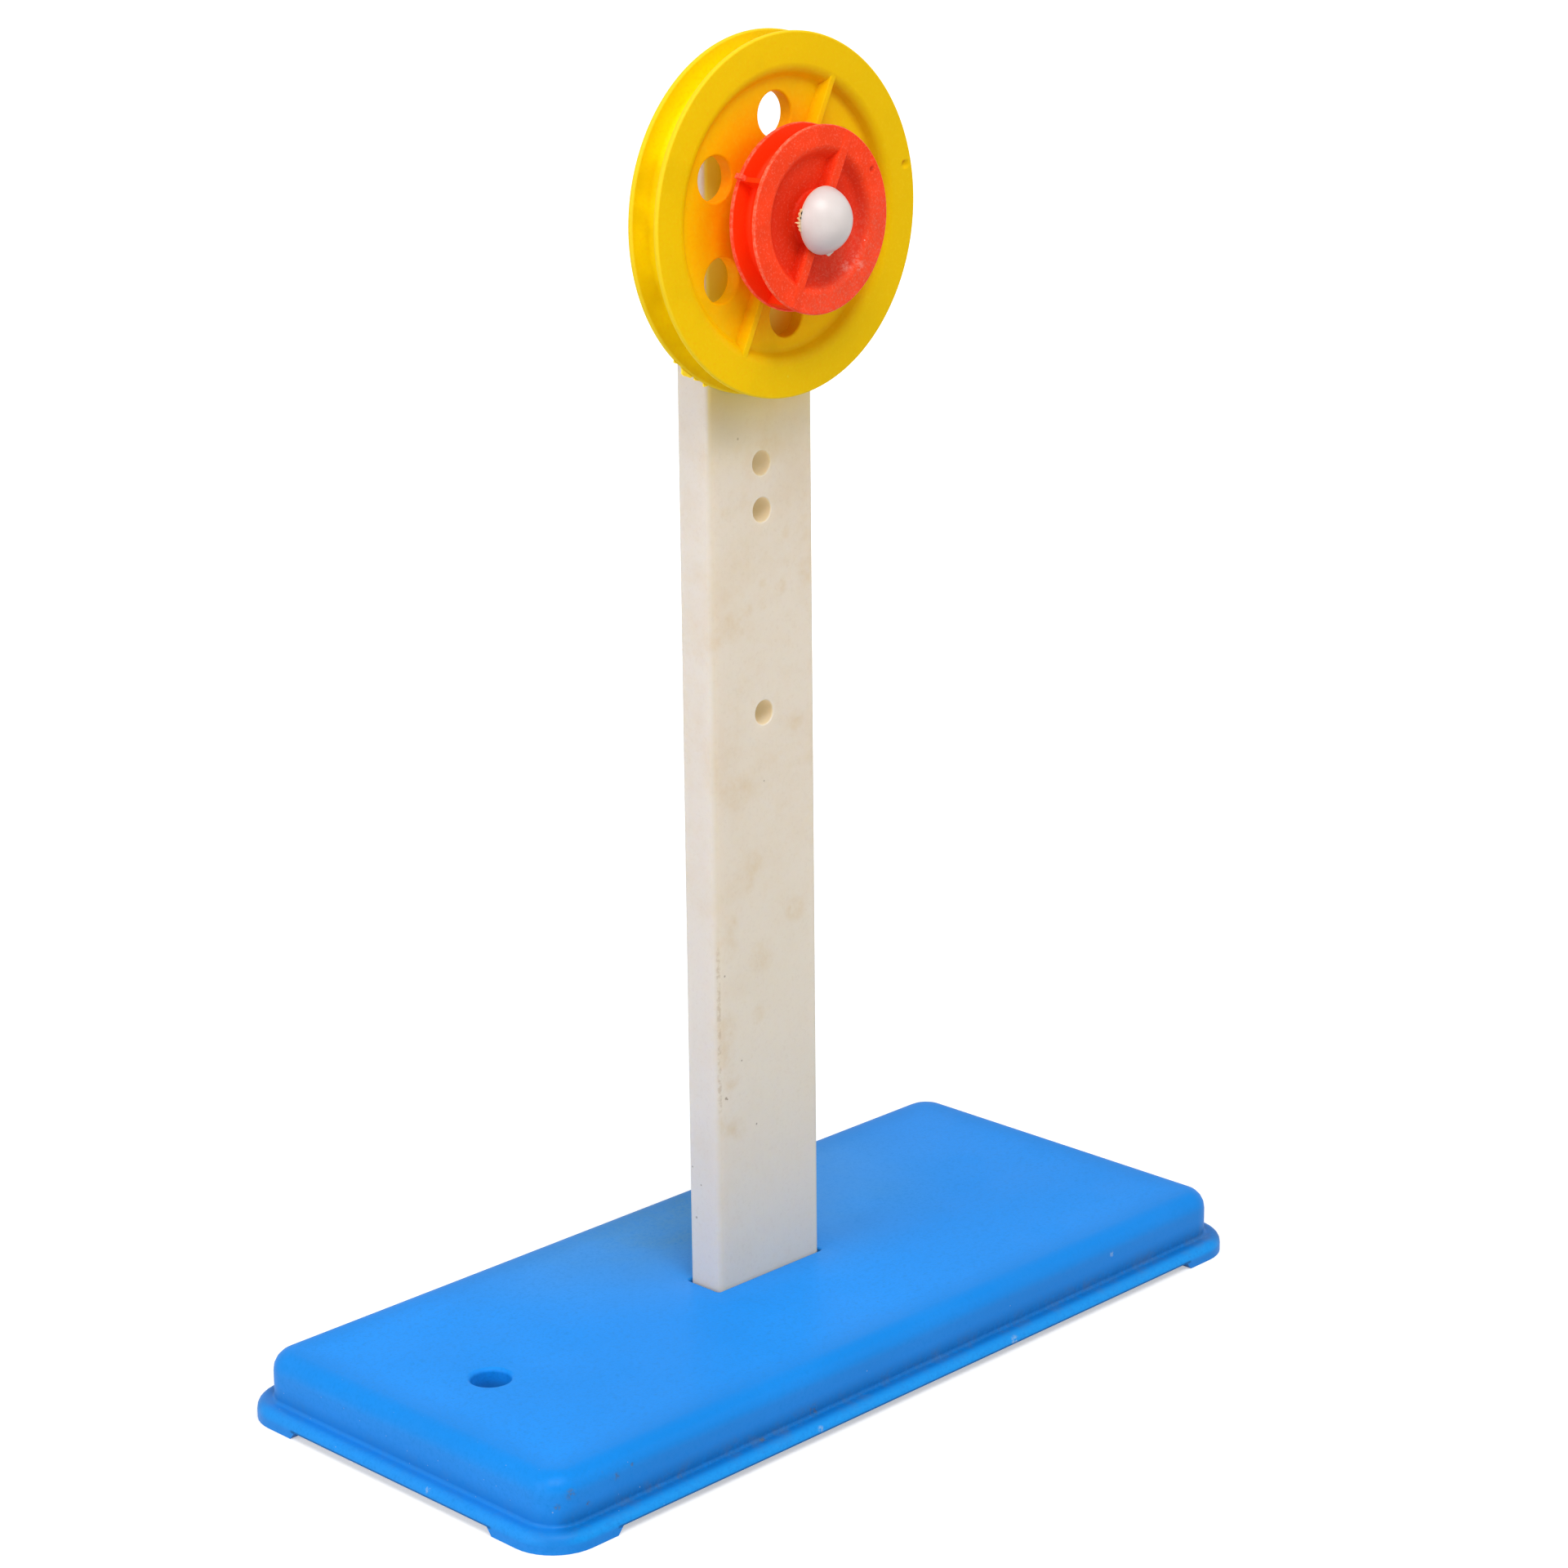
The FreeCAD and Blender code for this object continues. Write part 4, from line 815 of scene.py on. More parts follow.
def yellow_finish(s):
    """The large pulley: painted light warming its recess, greener in its groove, a painted
    highlight on its rim's edges, painted shade at its gate and +X side and along its lip.
    """
    paint, tint = Paint("Yellow moulded plastic"), s.finishes
    yellow, amber, lemon = tint.yellow, tint.amber, tint.lemon
    away = paint.far((0, s.large.middle, s.post.axle), FROM_Y_LINE)
    clouds = paint.noise(0.008, 4, 0.6)
    groove = 1 - paint.step(abs(paint.y - s.large.middle), 0.0025, 0.0033)
    groove = groove * paint.step(away, 0.0305, 0.032)
    tone = paint.mix(yellow, tint.leaf, groove)
    sunk = 1 - paint.step(away, 0.0275, 0.0295)
    # Painted light: the web lighter and warmer than the rim
    tone = paint.mix(tone, tint.sun, sunk)
    raised = 1 - paint.step(paint.y - s.large.middle, -0.0032, -0.002)
    deep = sunk * (1 - paint.step(away + 0.003 * clouds, 0.014, 0.034)) * (1 - 0.7 * raised)
    upper_left = paint.step(paint.z - paint.x - s.post.axle, -0.03, 0.03)
    right = paint.step(paint.x, 0.002, 0.018)
    # Painted coloured light: amber in the web near the hub, strongest at its upper left and weaker
    # on the right
    painted_bounce_light = deep * (1 - 0.5 * right) * (0.34 + 0.35 * clouds + 0.25 * upper_left)
    tone = paint.mix(tone, amber, painted_bounce_light)
    # Painted shade along the recess's lip, and painted light over its lower left
    lip = paint.step(away, 0.026, 0.0284) * (1 - paint.step(away, 0.0288, 0.0304))
    lower_left = paint.step(s.post.axle - paint.z - paint.x, 0.008, 0.028)
    tone = paint.mix(tone, times(amber, 0.95), 0.2 * lip * (1 - lower_left))
    tone = paint.mix(tone, times(yellow, 1.04), 0.85 * lip * lower_left)
    grain = paint.step(paint.noise(0.0007, 3, 0.7), 0.46, 0.72)
    tone = paint.mix(tone, times(amber, 0.9), 0.12 * grain)
    tone = paint.mix(tone, times(yellow, 0.88), 0.6 * paint.step(paint.noise(0.012, 3), 0.45, 0.75))
    # Painted shade: darker towards +X
    tone = paint.mix(tone, times(yellow, 0.86), 0.5 * paint.step(paint.x, -0.02, 0.03))
    # Painted highlight along the rim's edges, flash, specks and painted shade in the gate's dimple
    highlit = paint.step(away, s.large.radius - 0.0005, s.large.radius - 0.0001)
    torn = paint.step(away, s.large.radius + 0.0001, s.large.radius + 0.0003)
    tone = paint.mix(tone, times(lemon, 0.95), 0.8 * torn)
    tone = paint.mix(tone, lemon, 0.4 * highlit + 0.1 * paint.step(paint.noise(0.0008, 2), 0.5, 0.7))
    pale = paint.specks(0.009, 0.00035, 0.14)
    dark = paint.specks(0.013, 0.0003, 0.12, paint.moved((0.031, 0.017, 0.023)))
    tone = paint.mix(tone, times(lemon, 0.9), 0.6 * pale)
    tone = paint.mix(tone, times(amber, 0.3), 0.65 * dark)
    # Painted shade in the gate's dimple
    tone = paint.mix(tone, times(amber, 0.5), 0.6 * paint.marks(YELLOW_GATE_SHADE))
    rough = 0.42 + 0.12 * paint.noise(0.01, 4)
    height = 0.22 * paint.noise(0.006, 2) + 0.06 * paint.noise(0.0007, 2) + 0.1 * pale
    # Painted light through the web near the small pulley, and through the flash
    left = 1 - paint.step(paint.x, -0.008, 0.012)
    beside_red = 1 - paint.step(away, 0.017, 0.0235)
    light = paint.mix(BLACK, tint.glow, deep * left * beside_red)
    light = paint.mix(light, times(lemon, 0.3), torn)
    return paint.finish(tone, rough, height, GRAIN_DEPTH, Specular_IOR_Level=0.05,
                        Emission_Color=light, Emission_Strength=1.0)


def red_finish(s):
    """The small pulley: painted shade in its recess, hotter in its groove, a painted highlight on
    its rim's edges, dusty at its lower right.
    """
    paint, tint = Paint("Red moulded plastic"), s.finishes
    red, pink = tint.red, tint.pink
    away = paint.far((0, s.small.middle, s.post.axle), FROM_Y_LINE)
    clouds = paint.step(paint.noise(0.005, 4, 0.65), 0.35, 0.7)
    tone = paint.mix(times(red, 0.88), red, clouds)
    face = s.small.middle - s.small.half_width
    sunk = paint.step(paint.y - face, 0.0003, 0.0014)
    groove = sunk * paint.step(away, 0.0147, 0.0151)
    sunk = sunk - groove
    above = paint.step(paint.z - s.post.axle, 0.004, 0.012)
    # Painted shade in the recess, less towards its top
    tone = paint.mix(tone, tint.crimson, sunk * (0.75 - 0.35 * above))
    tone = paint.mix(tone, tint.ember, 0.9 * groove)
    grain = paint.step(paint.noise(0.0005, 3, 0.75), 0.5, 0.74)
    open_faces = paint.step(away, 0.005, 0.0065) * (1 - 0.4 * sunk - 0.9 * groove)
    tone = paint.mix(tone, pink, 0.36 * grain * open_faces)
    # Painted highlight along the rim's edges, dust, scuffs, specks and painted shade in the gate's
    # dimple
    highlit = paint.step(away, s.small.radius - 0.0003, s.small.radius - 0.00005)
    ragged = paint.step(paint.noise(0.001, 4, 0.7), 0.4, 0.62)
    tone = paint.mix(tone, pink, highlit * (0.12 + 0.4 * ragged))
    lower_right = paint.step(paint.x - paint.z + s.post.axle, 0.004, 0.02)
    tone = paint.mix(tone, times(pink, 0.6), 0.18 * lower_right * (0.5 + ragged))
    scuffs = paint.marks(RED_SCUFFS) * ragged
    specks = paint.specks(0.0045, 0.00025, 0.22)
    tone = paint.mix(tone, tint.blush, 0.22 * scuffs + 0.75 * specks)
    # Painted shade in the gate's dimple
    tone = paint.mix(tone, times(tint.crimson, 0.6), 0.8 * paint.marks(RED_GATE_SHADE))
    rough = 0.46 + 0.15 * paint.noise(0.005, 4)
    height = 0.25 * paint.noise(0.002, 3) + 0.14 * paint.noise(0.0005, 3) + 0.2 * specks
    return paint.finish(tone, rough, height, GRAIN_DEPTH, Specular_IOR_Level=0.09)


def white_finish(s):
    """The pin, its washer and its cap: yellowed round the head, painted shade on its lower right.
    """
    paint, tint = Paint("White moulded plastic"), s.finishes
    white = tint.white
    tone = paint.mix(times(white, 0.93), white, paint.noise(0.003, 3))
    away = paint.far((0, s.axle.seat, s.post.axle), FROM_Y_LINE)
    front = 1 - paint.step(paint.y, s.axle.seat - 0.0002, s.axle.seat + 0.0004)
    around = paint.step(away, s.axle.head - 0.0002, s.axle.head + 0.0002)
    tone = paint.mix(tone, tint.cream, front * around)
    # Painted shade on the head's lower right
    shade_lower_right = paint.step(paint.x - paint.z + s.post.axle, -0.004, 0.008)
    tone = paint.mix(tone, times(white, 0.7), 0.75 * front * shade_lower_right)
    rough = 0.34 + 0.1 * paint.noise(0.003, 3)
    height = paint.noise(0.0015, 3)
    return paint.finish(tone, rough, height, PIN_GRAIN_DEPTH, Specular_IOR_Level=0.7,
                        Subsurface_Weight=0.1, Subsurface_Radius=(1.0, 0.7, 0.6),
                        Subsurface_Scale=0.002)


def zinc_finish(s):
    """The screws."""
    paint, zinc = Paint("Zinc-plated steel"), s.finishes.zinc
    tone = paint.mix(times(zinc, 0.85), zinc, paint.noise(0.0008, 4))
    rough = 0.25 + 0.2 * paint.noise(0.0006, 3)
    return paint.finish(tone, rough, paint.noise(0.0004, 3), ZINC_GRAIN_DEPTH, Metallic=1.0)


# --------------------------------------------------------------------------------------------
# Pieces
# --------------------------------------------------------------------------------------------
# Torn slivers of moulding flash: degrees from the horizontal, half width and height in mm
FLANGE_TEETH = ((227.5, 0.6, 0.45), (233.8, 2.0, 1.1), (238.5, 0.8, 0.4), (243, 0.7, 0.6))
HEAD_TEETH = ((160, 0.8, 0.6), (166, 0.9, 0.8), (172, 0.5, 1.0), (178, 0.3, 1.6), (184, 0.6, 0.8),
              (190, 0.5, 0.6), (283, 1.2, 0.6))


def tray_shell(bm, base):
    """The tray's skin: deck edge, wall, flange, lower edge, inner wall."""
    half = base.length / 2
    profile = (
        (half - base.deck_rounding - DECK_RING, base.height),
        (half, base.height, base.deck_rounding),
        (half, base.flange_height, base.crease),
        (half + base.flange, base.flange_height, base.flange_rounding),
        (half + base.flange, base.lift),
        (half + base.flange - base.foot_wall, base.lift),
        (half - base.wall, base.lift, base.soft),
        (half - base.wall, base.height - base.deck - base.rib_depth),
    )
    carried_round(bm, profile, half, base.width / 2, base.corner)


def feet(bm, base):
    """Four corner feet pushed down from the flange's lower face."""
    reach_x = base.length / 2 + base.flange - base.foot_long - base.foot_draft
    reach_y = base.width / 2 + base.flange - base.foot_short - base.foot_draft
    low = [face for face in bm.faces if lies_at(face, base.lift)]
    for sign in (-1, 1):
        low = cut(bm, low, (sign * reach_x, 0, 0), (1, 0, 0))
        low = cut(bm, low, (0, sign * reach_y, 0), (0, 1, 0))

    def under_flange(face):
        centre = face.calc_center_median()
        over_x = abs(centre.x) - base.length / 2 + base.corner
        over_y = abs(centre.y) - base.width / 2 + base.corner
        standoff = math.hypot(max(over_x, 0), max(over_y, 0)) - base.corner
        in_corner = abs(centre.x) > reach_x and abs(centre.y) > reach_y
        return in_corner and standoff > base.flange - base.foot_wall

    moved = push(bm, [face for face in low if under_flange(face)], (0, 0, -base.lift))
    for vert in moved:
        if close(abs(vert.co.x), reach_x):
            vert.co.x += math.copysign(base.foot_draft, vert.co.x)
        if close(abs(vert.co.y), reach_y):
            vert.co.y += math.copysign(base.foot_draft, vert.co.y)


def underside(bm, base, post):
    """Pockets pushed up between the ribs, the post's socket and the boss round the hole."""
    level = base.height - base.deck - base.rib_depth
    faces = cap(bm, open_at(bm, level))
    half = base.rib / 2
    for across in (-2, -1, 1, 2):
        for side in (-half, half):
            faces = cut(bm, faces, (across * base.rib_pitch + side, 0, 0), (1, 0, 0))
    for along in (-1, 1):
        for side in (-half, half):
            faces = cut(bm, faces, (0, along * base.rib_offset + side, 0), (0, 1, 0))

    def in_rib(face):
        centre = face.calc_center_median()
        over_x = min(abs(abs(centre.x) - number * base.rib_pitch) for number in (1, 2))
        return over_x < half or abs(abs(centre.y) - base.rib_offset) < half

    def in_middle(face):
        centre = face.calc_center_median()
        return (abs(centre.x) < base.rib_pitch - half
                and abs(centre.y) < base.rib_offset - half)

    def in_socket(face):
        centre = face.calc_center_median()
        return abs(centre.x) < socket_x and abs(centre.y - post.setback) < socket_y

    def beside_boss(face):
        centre = face.calc_center_median()
        return (centre.x < -2 * base.rib_pitch - half
                and abs(centre.y) < base.rib_offset - half)

    socket_x = post.width / 2 + base.slot_end + base.socket_wall
    socket_y = post.thickness / 2 + base.slot_side + base.socket_wall
    middle = [face for face in faces if in_middle(face)]
    faces = [face for face in faces if face not in middle]
    for sign in (-1, 1):
        middle = cut(bm, middle, (sign * socket_x, 0, 0), (1, 0, 0))
        middle = cut(bm, middle, (0, post.setback + sign * socket_y, 0), (0, 1, 0))
    socket = [face for face in middle if in_socket(face)]
    pockets = [face for face in middle if face not in socket]
    for_boss = [face for face in faces if beside_boss(face)]
    pockets += [face for face in faces if face not in for_boss and not in_rib(face)]
    known = set(bm.faces) - set(for_boss)
    window(bm, for_boss, (base.hole_x, 0, level), (BOSS_SQUARE, BOSS_SQUARE, 0))
    pockets += [face for face in bm.faces if face not in known]
    bore = turned(bm, (
        (base.hole + base.boss, level), (base.hole, level, base.soft),
        (base.hole, base.height, base.hole_mouth), (base.hole + HOLE_RING, base.height),
    ), 48, steps=6)
    bmesh.ops.translate(bm, verts=bore, vec=(base.hole_x, 0, 0))
    pockets += fill(bm, open_at(bm, level))
    push(bm, pockets, (0, 0, base.rib_depth))
    push(bm, socket, (0, 0, base.socket_lift - level))


def slot(bm, base, post):
    """The post's slot, with the deck dipping to its mouth."""
    half_x = post.width / 2 + base.slot_end
    half_y = post.thickness / 2 + base.slot_side
    floor = base.socket_lift + base.socket_floor
    dip_end = half_x + base.dip_width
    profile = (
        (half_x, floor), (half_x, base.height - base.dip, base.slot_mouth),
        (dip_end, base.height, base.dip_rounding), (dip_end + SLOT_RING, base.height),
    )
    made = carried_round(bm, profile, half_x, half_y, base.slot_corner, side_steps=2,
                         corner_steps=6)
    bmesh.ops.translate(bm, verts=made, vec=(0, post.setback, 0))
    cap(bm, open_at(bm, floor))


def build_base(s):
    bm = bmesh.new()
    tray_shell(bm, s.base)
    feet(bm, s.base)
    underside(bm, s.base, s.post)
    slot(bm, s.base, s.post)
    fill(bm, open_at(bm, s.base.height))
    piece("base_moulding", bm, "stand", "base", blue_finish(s))


def build_post(s):
    post = s.post
    bm = bmesh.new()
    verts = bmesh.ops.create_cube(bm, size=1)["verts"]
    bmesh.ops.scale(bm, vec=(post.width, post.thickness, post.top - post.foot), verts=verts)
    bmesh.ops.translate(bm, vec=(0, 0, (post.top + post.foot) / 2), verts=verts)
    upright = [edge for edge in bm.edges
               if not close(edge.verts[0].co.z, edge.verts[1].co.z)]
    round_edges(bm, upright, post.rounding, 6)
    round_edges(bm, [edge for edge in bm.edges if lies_at(edge, post.top)],
                post.end_rounding, 4)
    half = post.thickness / 2
    for height in (post.axle, post.high, post.middle, post.low):
        for side in (-half, half):
            faces = [face for face in bm.faces if lies_at(face, side, axis=1)]
            window(bm, faces, (0, side, height), (POST_SQUARE, 0, POST_SQUARE))
        hole = turned(bm, (
            (POST_RING, half), (post.hole, half, post.hole_mouth),
            (post.hole, -half, post.hole_mouth), (POST_RING, -half)), 40)
        bmesh.ops.rotate(bm, cent=(0, 0, 0), matrix=Matrix.Rotation(math.pi / 2, 3, "X"),
                         verts=hole)
        bmesh.ops.translate(bm, vec=(0, 0, height), verts=hole)
        for side in (-half, half):
            fill(bm, [edge for edge in bm.edges if is_open(edge) and lies_at(edge, side, axis=1)
                      and all(abs(vert.co.z - height) < POST_SQUARE + NEAR
                              for vert in edge.verts)])
    bmesh.ops.translate(bm, vec=(0, post.setback, 0), verts=bm.verts)
    piece("post_bar", bm, "stand", "post", ivory_finish(s))


def onto_axle(bm, s, place, turn=0):
    """Turns what was made about Z to face -Y, and puts it on the axle at its place along Y."""
    to_front = Matrix.Rotation(math.pi / 2, 4, "X") @ Matrix.Rotation(turn, 4, "Z")
    bmesh.ops.transform(bm, verts=bm.verts,
                        matrix=Matrix.Translation((0, place, s.post.axle)) @ to_front)


def rim(wheel):
    """A pulley's section from its web over the rim, with its groove, and back to the web."""
    mouth = wheel.half_width - wheel.tip
    beside = 1.5 * wheel.gate_radius
    half = (
        (wheel.recess - wheel.recess_draft, wheel.web, wheel.floor_corner),
        (wheel.recess, wheel.half_width, wheel.lip),
        (wheel.gate - beside, wheel.half_width),
        (wheel.gate + beside, wheel.half_width),
        (wheel.radius, wheel.half_width, wheel.edge),
        (wheel.radius, mouth, wheel.edge),
        (wheel.radius - wheel.groove, wheel.groove_floor, wheel.groove_corner),
    )
    return (*half, *((x, -z, *soft) for x, z, *soft in reversed(half)))


def gate_mark(bm, s, wheel):
    """The dimple of the moulding gate, in the rim's front face."""
    turn = wheel.gate_turn - s.axle.rib_turn
    place = Vector((math.cos(turn) * wheel.gate, math.sin(turn) * wheel.gate, wheel.half_width))
    dimple(bm, place, wheel.gate_radius, wheel.gate_depth)


def flattened(verts, radius, flat, low, high):
    """Moves the outermost vertices of a round key or socket in to its two flats."""
    for vert in verts:
        if close(vert.co.xy.length, radius) and low < vert.co.z < high:
            vert.co.y = max(-flat, min(flat, vert.co.y))


def build_large_pulley(s):
    wheel = s.large
    bm = bmesh.new()
    web_edge = wheel.recess - wheel.recess_draft - wheel.floor_corner - WEB_RING
    turned(bm, ((web_edge, wheel.web), *rim(wheel), (web_edge, -wheel.web)), 192)
    hub_ring = wheel.hub + HUB_RING
    hub = turned(bm, (
        (hub_ring, wheel.web), (wheel.hub, wheel.web, wheel.hub_root),
        (wheel.hub, wheel.half_width, wheel.hub_edge), (wheel.key, wheel.half_width),
        (wheel.key, wheel.key_end, wheel.key_edge), (wheel.bore, wheel.key_end),
        (wheel.bore, -wheel.hub_rear), (wheel.hub, -wheel.hub_rear, wheel.hub_edge),
        (wheel.hub, -wheel.web, wheel.hub_root), (hub_ring, -wheel.web),
    ), 96)
    flattened(hub, wheel.key, wheel.key_flat, wheel.half_width + NEAR, wheel.key_end + NEAR)
    hole_ring = wheel.hole + wheel.hole_mouth + WEB_RING
    for number in range(6):
        turn = math.tau * (number + 0.5) / 6
        hole = turned(bm, (
            (hole_ring, wheel.web), (wheel.hole, wheel.web, wheel.hole_mouth),
            (wheel.hole, -wheel.web, wheel.hole_mouth), (hole_ring, -wheel.web)), 48)
        bmesh.ops.translate(bm, verts=hole, vec=(wheel.hole_circle * math.cos(turn),
                                                 wheel.hole_circle * math.sin(turn), 0))
    for side in (wheel.web, -wheel.web):
        fill(bm, open_at(bm, side))
    gate_mark(bm, s, wheel)
    rib(bm, wheel, wheel.hub - RIB_ROOT)
    flash(bm, wheel.radius, wheel.tip / 2 - wheel.half_width, wheel.flash, FLANGE_TEETH,
          s.axle.rib_turn)
    onto_axle(bm, s, wheel.middle, s.axle.rib_turn)
    piece("large_pulley_moulding", bm, "pulleys", "large_pulley",
          yellow_finish(s))


def build_small_pulley(s):
    wheel = s.small
    bm = bmesh.new()
    body = turned(bm, (
        (wheel.bore, wheel.half_width), (wheel.hub, wheel.half_width, wheel.hub_edge),
        (wheel.hub, wheel.web, wheel.hub_root), *rim(wheel),
        (wheel.hub, -wheel.web, wheel.hub_root),
        (wheel.hub, -wheel.hub_rear, wheel.hub_rear_edge),
        (wheel.socket, -wheel.hub_rear), (wheel.socket, wheel.socket_end),
        (wheel.bore, wheel.socket_end)), 128, closed=True)
    flattened(body, wheel.socket, wheel.socket_flat, -wheel.hub_rear - NEAR,
              wheel.socket_end + NEAR)
    gate_mark(bm, s, wheel)
    rib(bm, wheel, (wheel.hub + wheel.socket) / 2)
    root, edge = wheel.radius - wheel.groove - wheel.fin / 2, wheel.radius - wheel.fin_drop
    rear, front = wheel.edge - wheel.half_width, wheel.half_width - wheel.tip / 2
    tab, tab_front = wheel.radius + wheel.tab, rear + wheel.tab_width
    fin = plate(bm, (
        (root, rear), (tab, rear, wheel.tab_corner), (tab, tab_front, wheel.tab_crest),
        (edge, tab_front, wheel.tab_corner), (edge, front), (root, front)), wheel.fin)
    bmesh.ops.rotate(bm, verts=fin, cent=(0, 0, 0),
                     matrix=Matrix.Rotation(wheel.fin_turn, 3, "Z"))
    onto_axle(bm, s, wheel.middle, s.axle.rib_turn)
    piece("small_pulley_moulding", bm, "pulleys", "small_pulley",
          red_finish(s))


def build_axle(s):
    axle = s.axle
    bm = bmesh.new()
    radius = (axle.head**2 + axle.head_height**2) / (2 * axle.head_height)
    bmesh.ops.create_uvsphere(bm, u_segments=96, v_segments=64, radius=radius)
    bmesh.ops.translate(bm, verts=bm.verts, vec=(0, 0, axle.head_height - radius))
    geom = [*bm.verts, *bm.edges, *bm.faces]
    bmesh.ops.bisect_plane(bm, geom=geom, dist=NEAR, plane_co=(0, 0, 0), plane_no=(0, 0, 1),
                           clear_inner=True)
    seat = cap(bm, open_at(bm, 0))
    round_edges(bm, list(seat[0].edges), axle.head_edge, 3)
    flash(bm, axle.head - axle.flash_inset, axle.flash_place, axle.flash, HEAD_TEETH)
    reach = axle.shank_end - axle.seat
    turned(bm, ((0, axle.shank_root), (axle.shank, axle.shank_root),
                (axle.shank, -reach, axle.shank_edge), (0, -reach)), 48)
    onto_axle(bm, s, axle.seat)
    white = white_finish(s)
    piece("axle_pin_moulding", bm, "stand", "axle_pin", white)
    repaint(("thrust_washer", "axle_cap"), white)


def build_screws(s):
    repaint(("post_screw_left", "post_screw_right"), zinc_finish(s))


# --------------------------------------------------------------------------------------------
# Stage
# --------------------------------------------------------------------------------------------
# Lamps: the place of each in metres and its power in watts
LAMPS = (("Key", (-0.375, -0.675, 1.4), 12.8), ("Left", (-1.3, 0.07, 0.64), 7.4),
         ("Fill", (0.7, -1.05, 0.72), 2.9))
LAMP_WIDTH = 0.9
LAMPS_FACE = (0, 0, 0.12)
FLOOR_HALF = 6  # metres
FLOOR_DROP = 0.05 * MM  # keeps the floor's face off the base's
FLOOR_GREY = 0.7
FLOOR_GLOW = 0.45  # near the object, rising to 1 far from it
GLOW_START, GLOW_END = 0.2, 0.8  # metres
ROOM_LIGHT, ROOM_WHITE = 0.45, 1.0  # what the room sheds on things, and how it looks


def seen_directly(nodes):
    """1 for camera, glossy and transmission rays."""
    rays = nodes.add("ShaderNodeLightPath").socket.node.outputs
    straight, glossy, through = (Signal(nodes, rays[name]) for name in (
        "Is Camera Ray", "Is Glossy Ray", "Is Transmission Ray"))
    return straight.larger(glossy).larger(through)


def build_lamp(name, place, power):
    data = bpy.data.lights.new(name, "AREA")
    data.shape, data.size, data.energy = "DISK", LAMP_WIDTH, power
    lamp = bpy.data.objects.new(name, data)
    lamp.location = place
    facing = Vector(LAMPS_FACE) - Vector(place)
    lamp.rotation_euler = facing.to_track_quat("-Z", "Y").to_euler()
    bpy.context.scene.collection.objects.link(lamp)


def build_floor():
    """A white floor that glows for the camera, so that it runs into the white room."""
    bm = bmesh.new()
    bmesh.ops.create_grid(bm, x_segments=1, y_segments=1, size=FLOOR_HALF)
    bmesh.ops.translate(bm, verts=bm.verts, vec=(0, 0, -FLOOR_DROP))
    mesh = bpy.data.meshes.new("floor")
    bm.to_mesh(mesh)
    bm.free()
    floor = bpy.data.objects.new("floor", mesh)
    bpy.context.scene.collection.objects.link(floor)
    paint = Paint("White floor")
    plain = paint.add("ShaderNodeBsdfDiffuse", {}, {"Color": (*times(WHITE, FLOOR_GREY), 1)})
    distant = paint.step(paint.far((0, 0, 0)), GLOW_START, GLOW_END)
    tone = paint.mix(times(WHITE, FLOOR_GLOW), WHITE, distant)
    glow = paint.add("ShaderNodeEmission", {}, {"Color": tone, "Strength": 1.0})
    bright = paint.add("ShaderNodeAddShader", {}, {0: plain, 1: glow})
    mixed = paint.add("ShaderNodeMixShader", {}, {0: seen_directly(paint), 1: plain, 2: bright})
    paint.add("ShaderNodeOutputMaterial", {}, {"Surface": mixed})
    mesh.materials.append(paint.material)


def build_world():
    """A white room that sheds less light than it shows."""
    world = bpy.data.worlds.new("Studio")
    bpy.context.scene.world = world
    nodes = Nodes(world)
    light, look = (nodes.add("ShaderNodeBackground", {}, {
        "Color": (*WHITE, 1), "Strength": strength}) for strength in (ROOM_LIGHT, ROOM_WHITE))
    mixed = nodes.add("ShaderNodeMixShader", {}, {0: seen_directly(nodes), 1: light, 2: look})
    nodes.add("ShaderNodeOutputWorld", {}, {"Surface": mixed})


def build_camera(stage):
    azimuth, elevation = stage.azimuth, stage.elevation
    back = Vector((math.sin(azimuth) * math.cos(elevation),
                   -math.cos(azimuth) * math.cos(elevation), math.sin(elevation)))
    right = Vector((math.cos(azimuth), math.sin(azimuth), 0))
    facing = Matrix((right, back.cross(right), back)).transposed().to_4x4()
    data = bpy.data.cameras.new("Camera")
    data.lens, data.shift_x, data.shift_y = stage.lens, stage.shift_x, stage.shift_y
    camera = bpy.data.objects.new("Camera", data)
    focus = Vector((stage.focus_x, 0, stage.focus_z))
    camera.matrix_world = (Matrix.Translation(focus + back * stage.distance) @ facing
                           @ Matrix.Rotation(stage.roll, 4, "Z"))
    bpy.context.scene.collection.objects.link(camera)
    bpy.context.scene.camera = camera


def build_stage(s):
    bpy.context.scene.view_settings.view_transform = "Standard"
    build_floor()
    build_world()
    for name, place, power in LAMPS:
        build_lamp(name, place, power)
    build_camera(s.stage)


# --------------------------------------------------------------------------------------------
# Operators, panel and registration
# --------------------------------------------------------------------------------------------
class PULLEY_OT_base(bpy.types.Operator):
    """Build the blue tray that the post stands in"""
    bl_idname = "pulley.base"
    bl_label = "Base"

    def execute(self, context):
        build_base(context.scene.pulley_demonstrator)
        return {"FINISHED"}


class PULLEY_OT_post(bpy.types.Operator):
    """Build the ivory post with its axle holes"""
    bl_idname = "pulley.post"
    bl_label = "Post"

    def execute(self, context):
        build_post(context.scene.pulley_demonstrator)
        return {"FINISHED"}


class PULLEY_OT_large_pulley(bpy.types.Operator):
    """Build the large yellow pulley"""
    bl_idname = "pulley.large_pulley"
    bl_label = "Large pulley"

    def execute(self, context):
        build_large_pulley(context.scene.pulley_demonstrator)
        return {"FINISHED"}


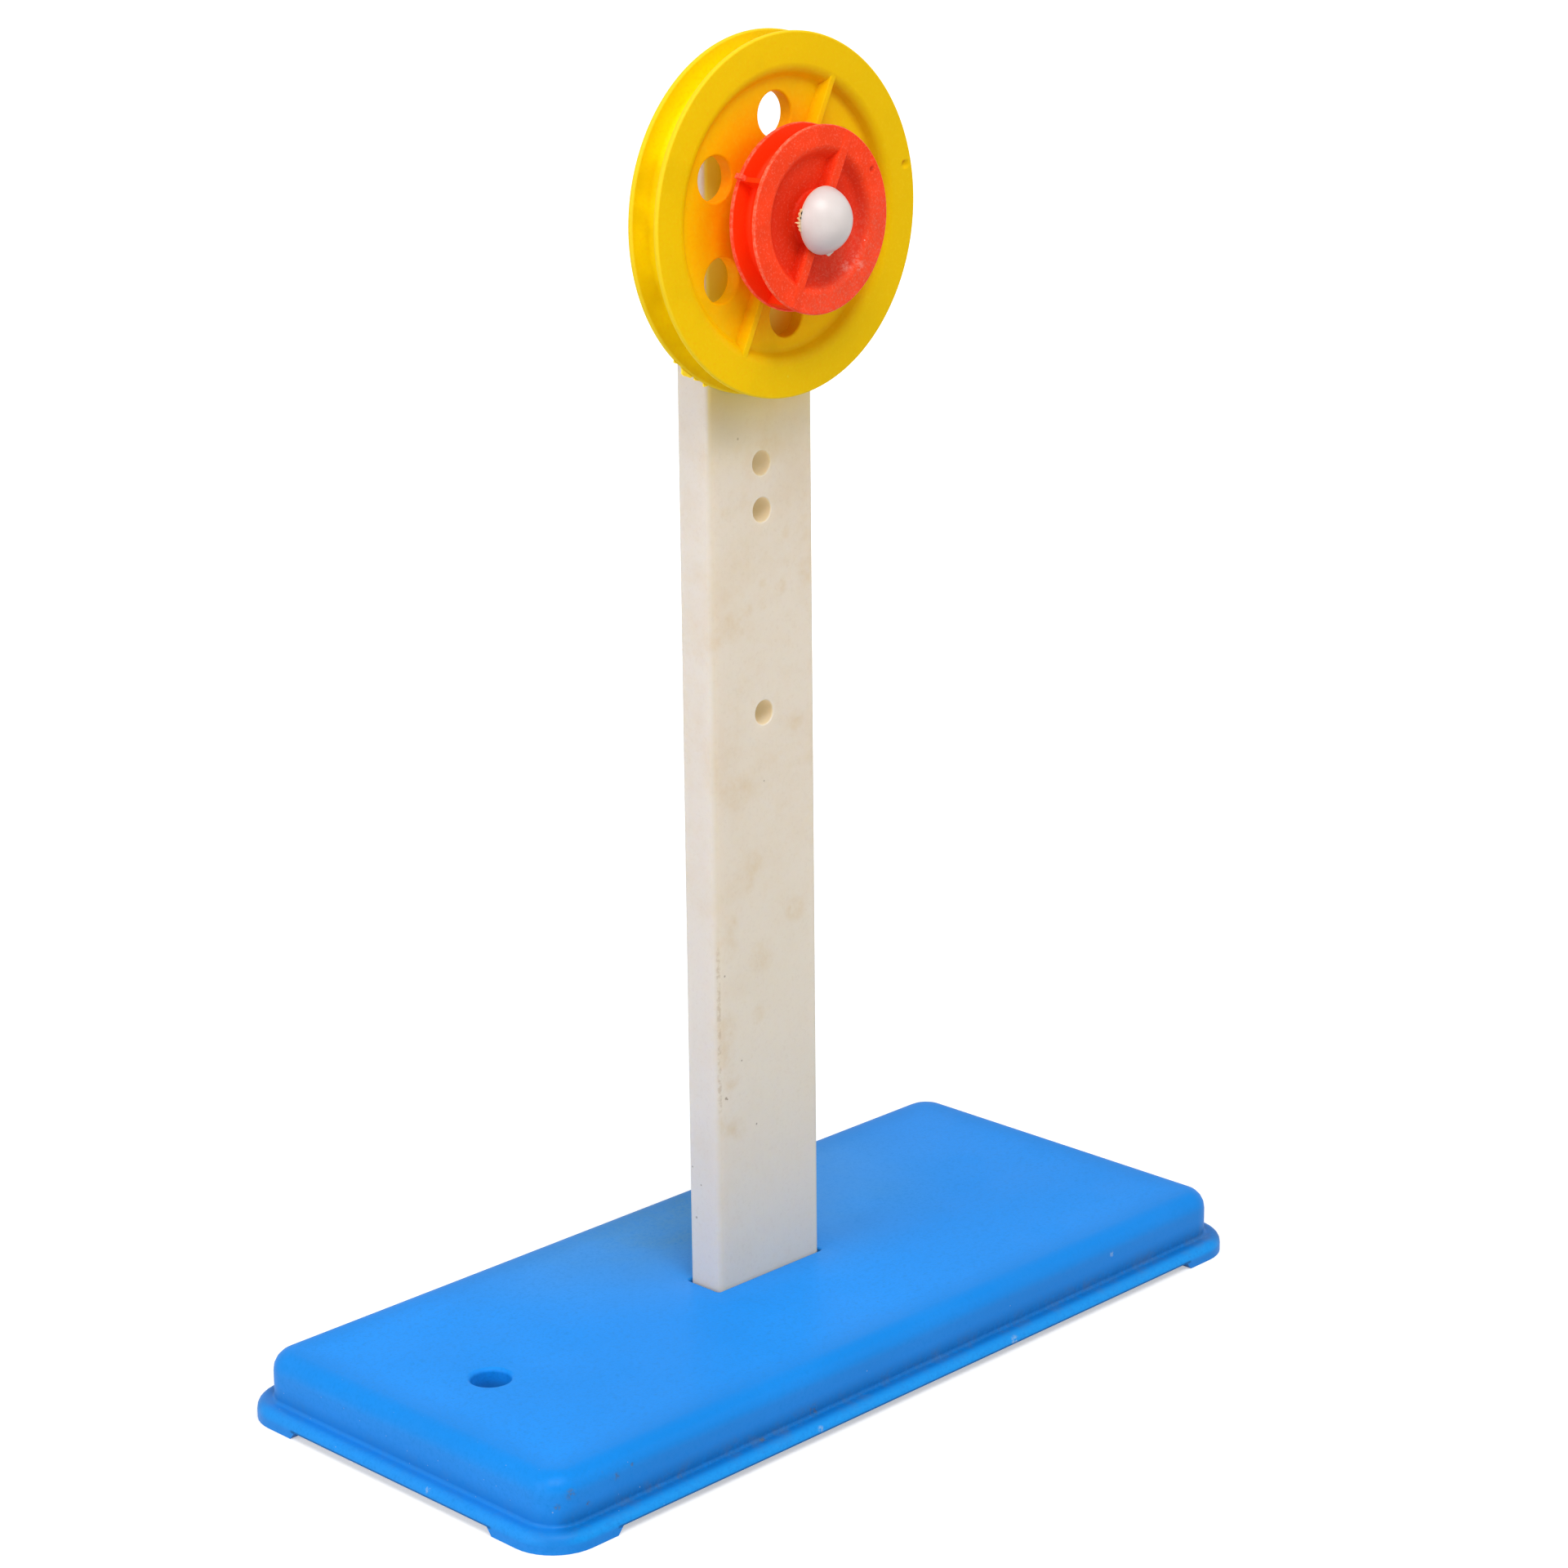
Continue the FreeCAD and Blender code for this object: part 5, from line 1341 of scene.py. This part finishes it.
class PULLEY_OT_small_pulley(bpy.types.Operator):
    """Build the small red pulley"""
    bl_idname = "pulley.small_pulley"
    bl_label = "Small pulley"

    def execute(self, context):
        build_small_pulley(context.scene.pulley_demonstrator)
        return {"FINISHED"}


class PULLEY_OT_axle(bpy.types.Operator):
    """Build the axle pin and paint its washer and cap"""
    bl_idname = "pulley.axle"
    bl_label = "Axle"

    def execute(self, context):
        build_axle(context.scene.pulley_demonstrator)
        return {"FINISHED"}


class PULLEY_OT_screws(bpy.types.Operator):
    """Paint the two screws that hold the post"""
    bl_idname = "pulley.screws"
    bl_label = "Post screws"

    def execute(self, context):
        build_screws(context.scene.pulley_demonstrator)
        return {"FINISHED"}


class PULLEY_OT_stage(bpy.types.Operator):
    """Build the floor, the light and the camera"""
    bl_idname = "pulley.stage"
    bl_label = "Stage"

    def execute(self, context):
        build_stage(context.scene.pulley_demonstrator)
        return {"FINISHED"}


BUILDERS = (
    PULLEY_OT_base, PULLEY_OT_post, PULLEY_OT_large_pulley, PULLEY_OT_small_pulley,
    PULLEY_OT_axle, PULLEY_OT_screws, PULLEY_OT_stage,
)


class PULLEY_PT_pieces(bpy.types.Panel):
    bl_label = "Pulley demonstrator"
    bl_idname = "PULLEY_PT_pieces"
    bl_space_type = "VIEW_3D"
    bl_region_type = "UI"
    bl_category = "Pulley"

    def draw(self, context):
        for builder in BUILDERS:
            self.layout.operator(builder.bl_idname)
        settings = context.scene.pulley_demonstrator
        for name in settings.__annotations__:
            group = getattr(settings, name)
            box = self.layout.box()
            box.label(text=settings.bl_rna.properties[name].name)
            for key in group.__annotations__:
                box.prop(group, key)


CLASSES = (
    BaseSizes, PostSizes, LargePulleySizes, SmallPulleySizes, AxleSizes, Finishes, Stage,
    PulleyDemonstrator, *BUILDERS, PULLEY_PT_pieces,
)


def register():
    for cls in CLASSES:
        bpy.utils.register_class(cls)
    bpy.types.Scene.pulley_demonstrator = PointerProperty(
        type=PulleyDemonstrator, name="Pulley demonstrator", description="All its settings")


def unregister():
    del bpy.types.Scene.pulley_demonstrator
    for cls in reversed(CLASSES):
        bpy.utils.unregister_class(cls)


def main():
    register()
    for builder in BUILDERS:
        group, name = builder.bl_idname.split(".")
        getattr(getattr(bpy.ops, group), name)()


if __name__ == "__main__":
    main()
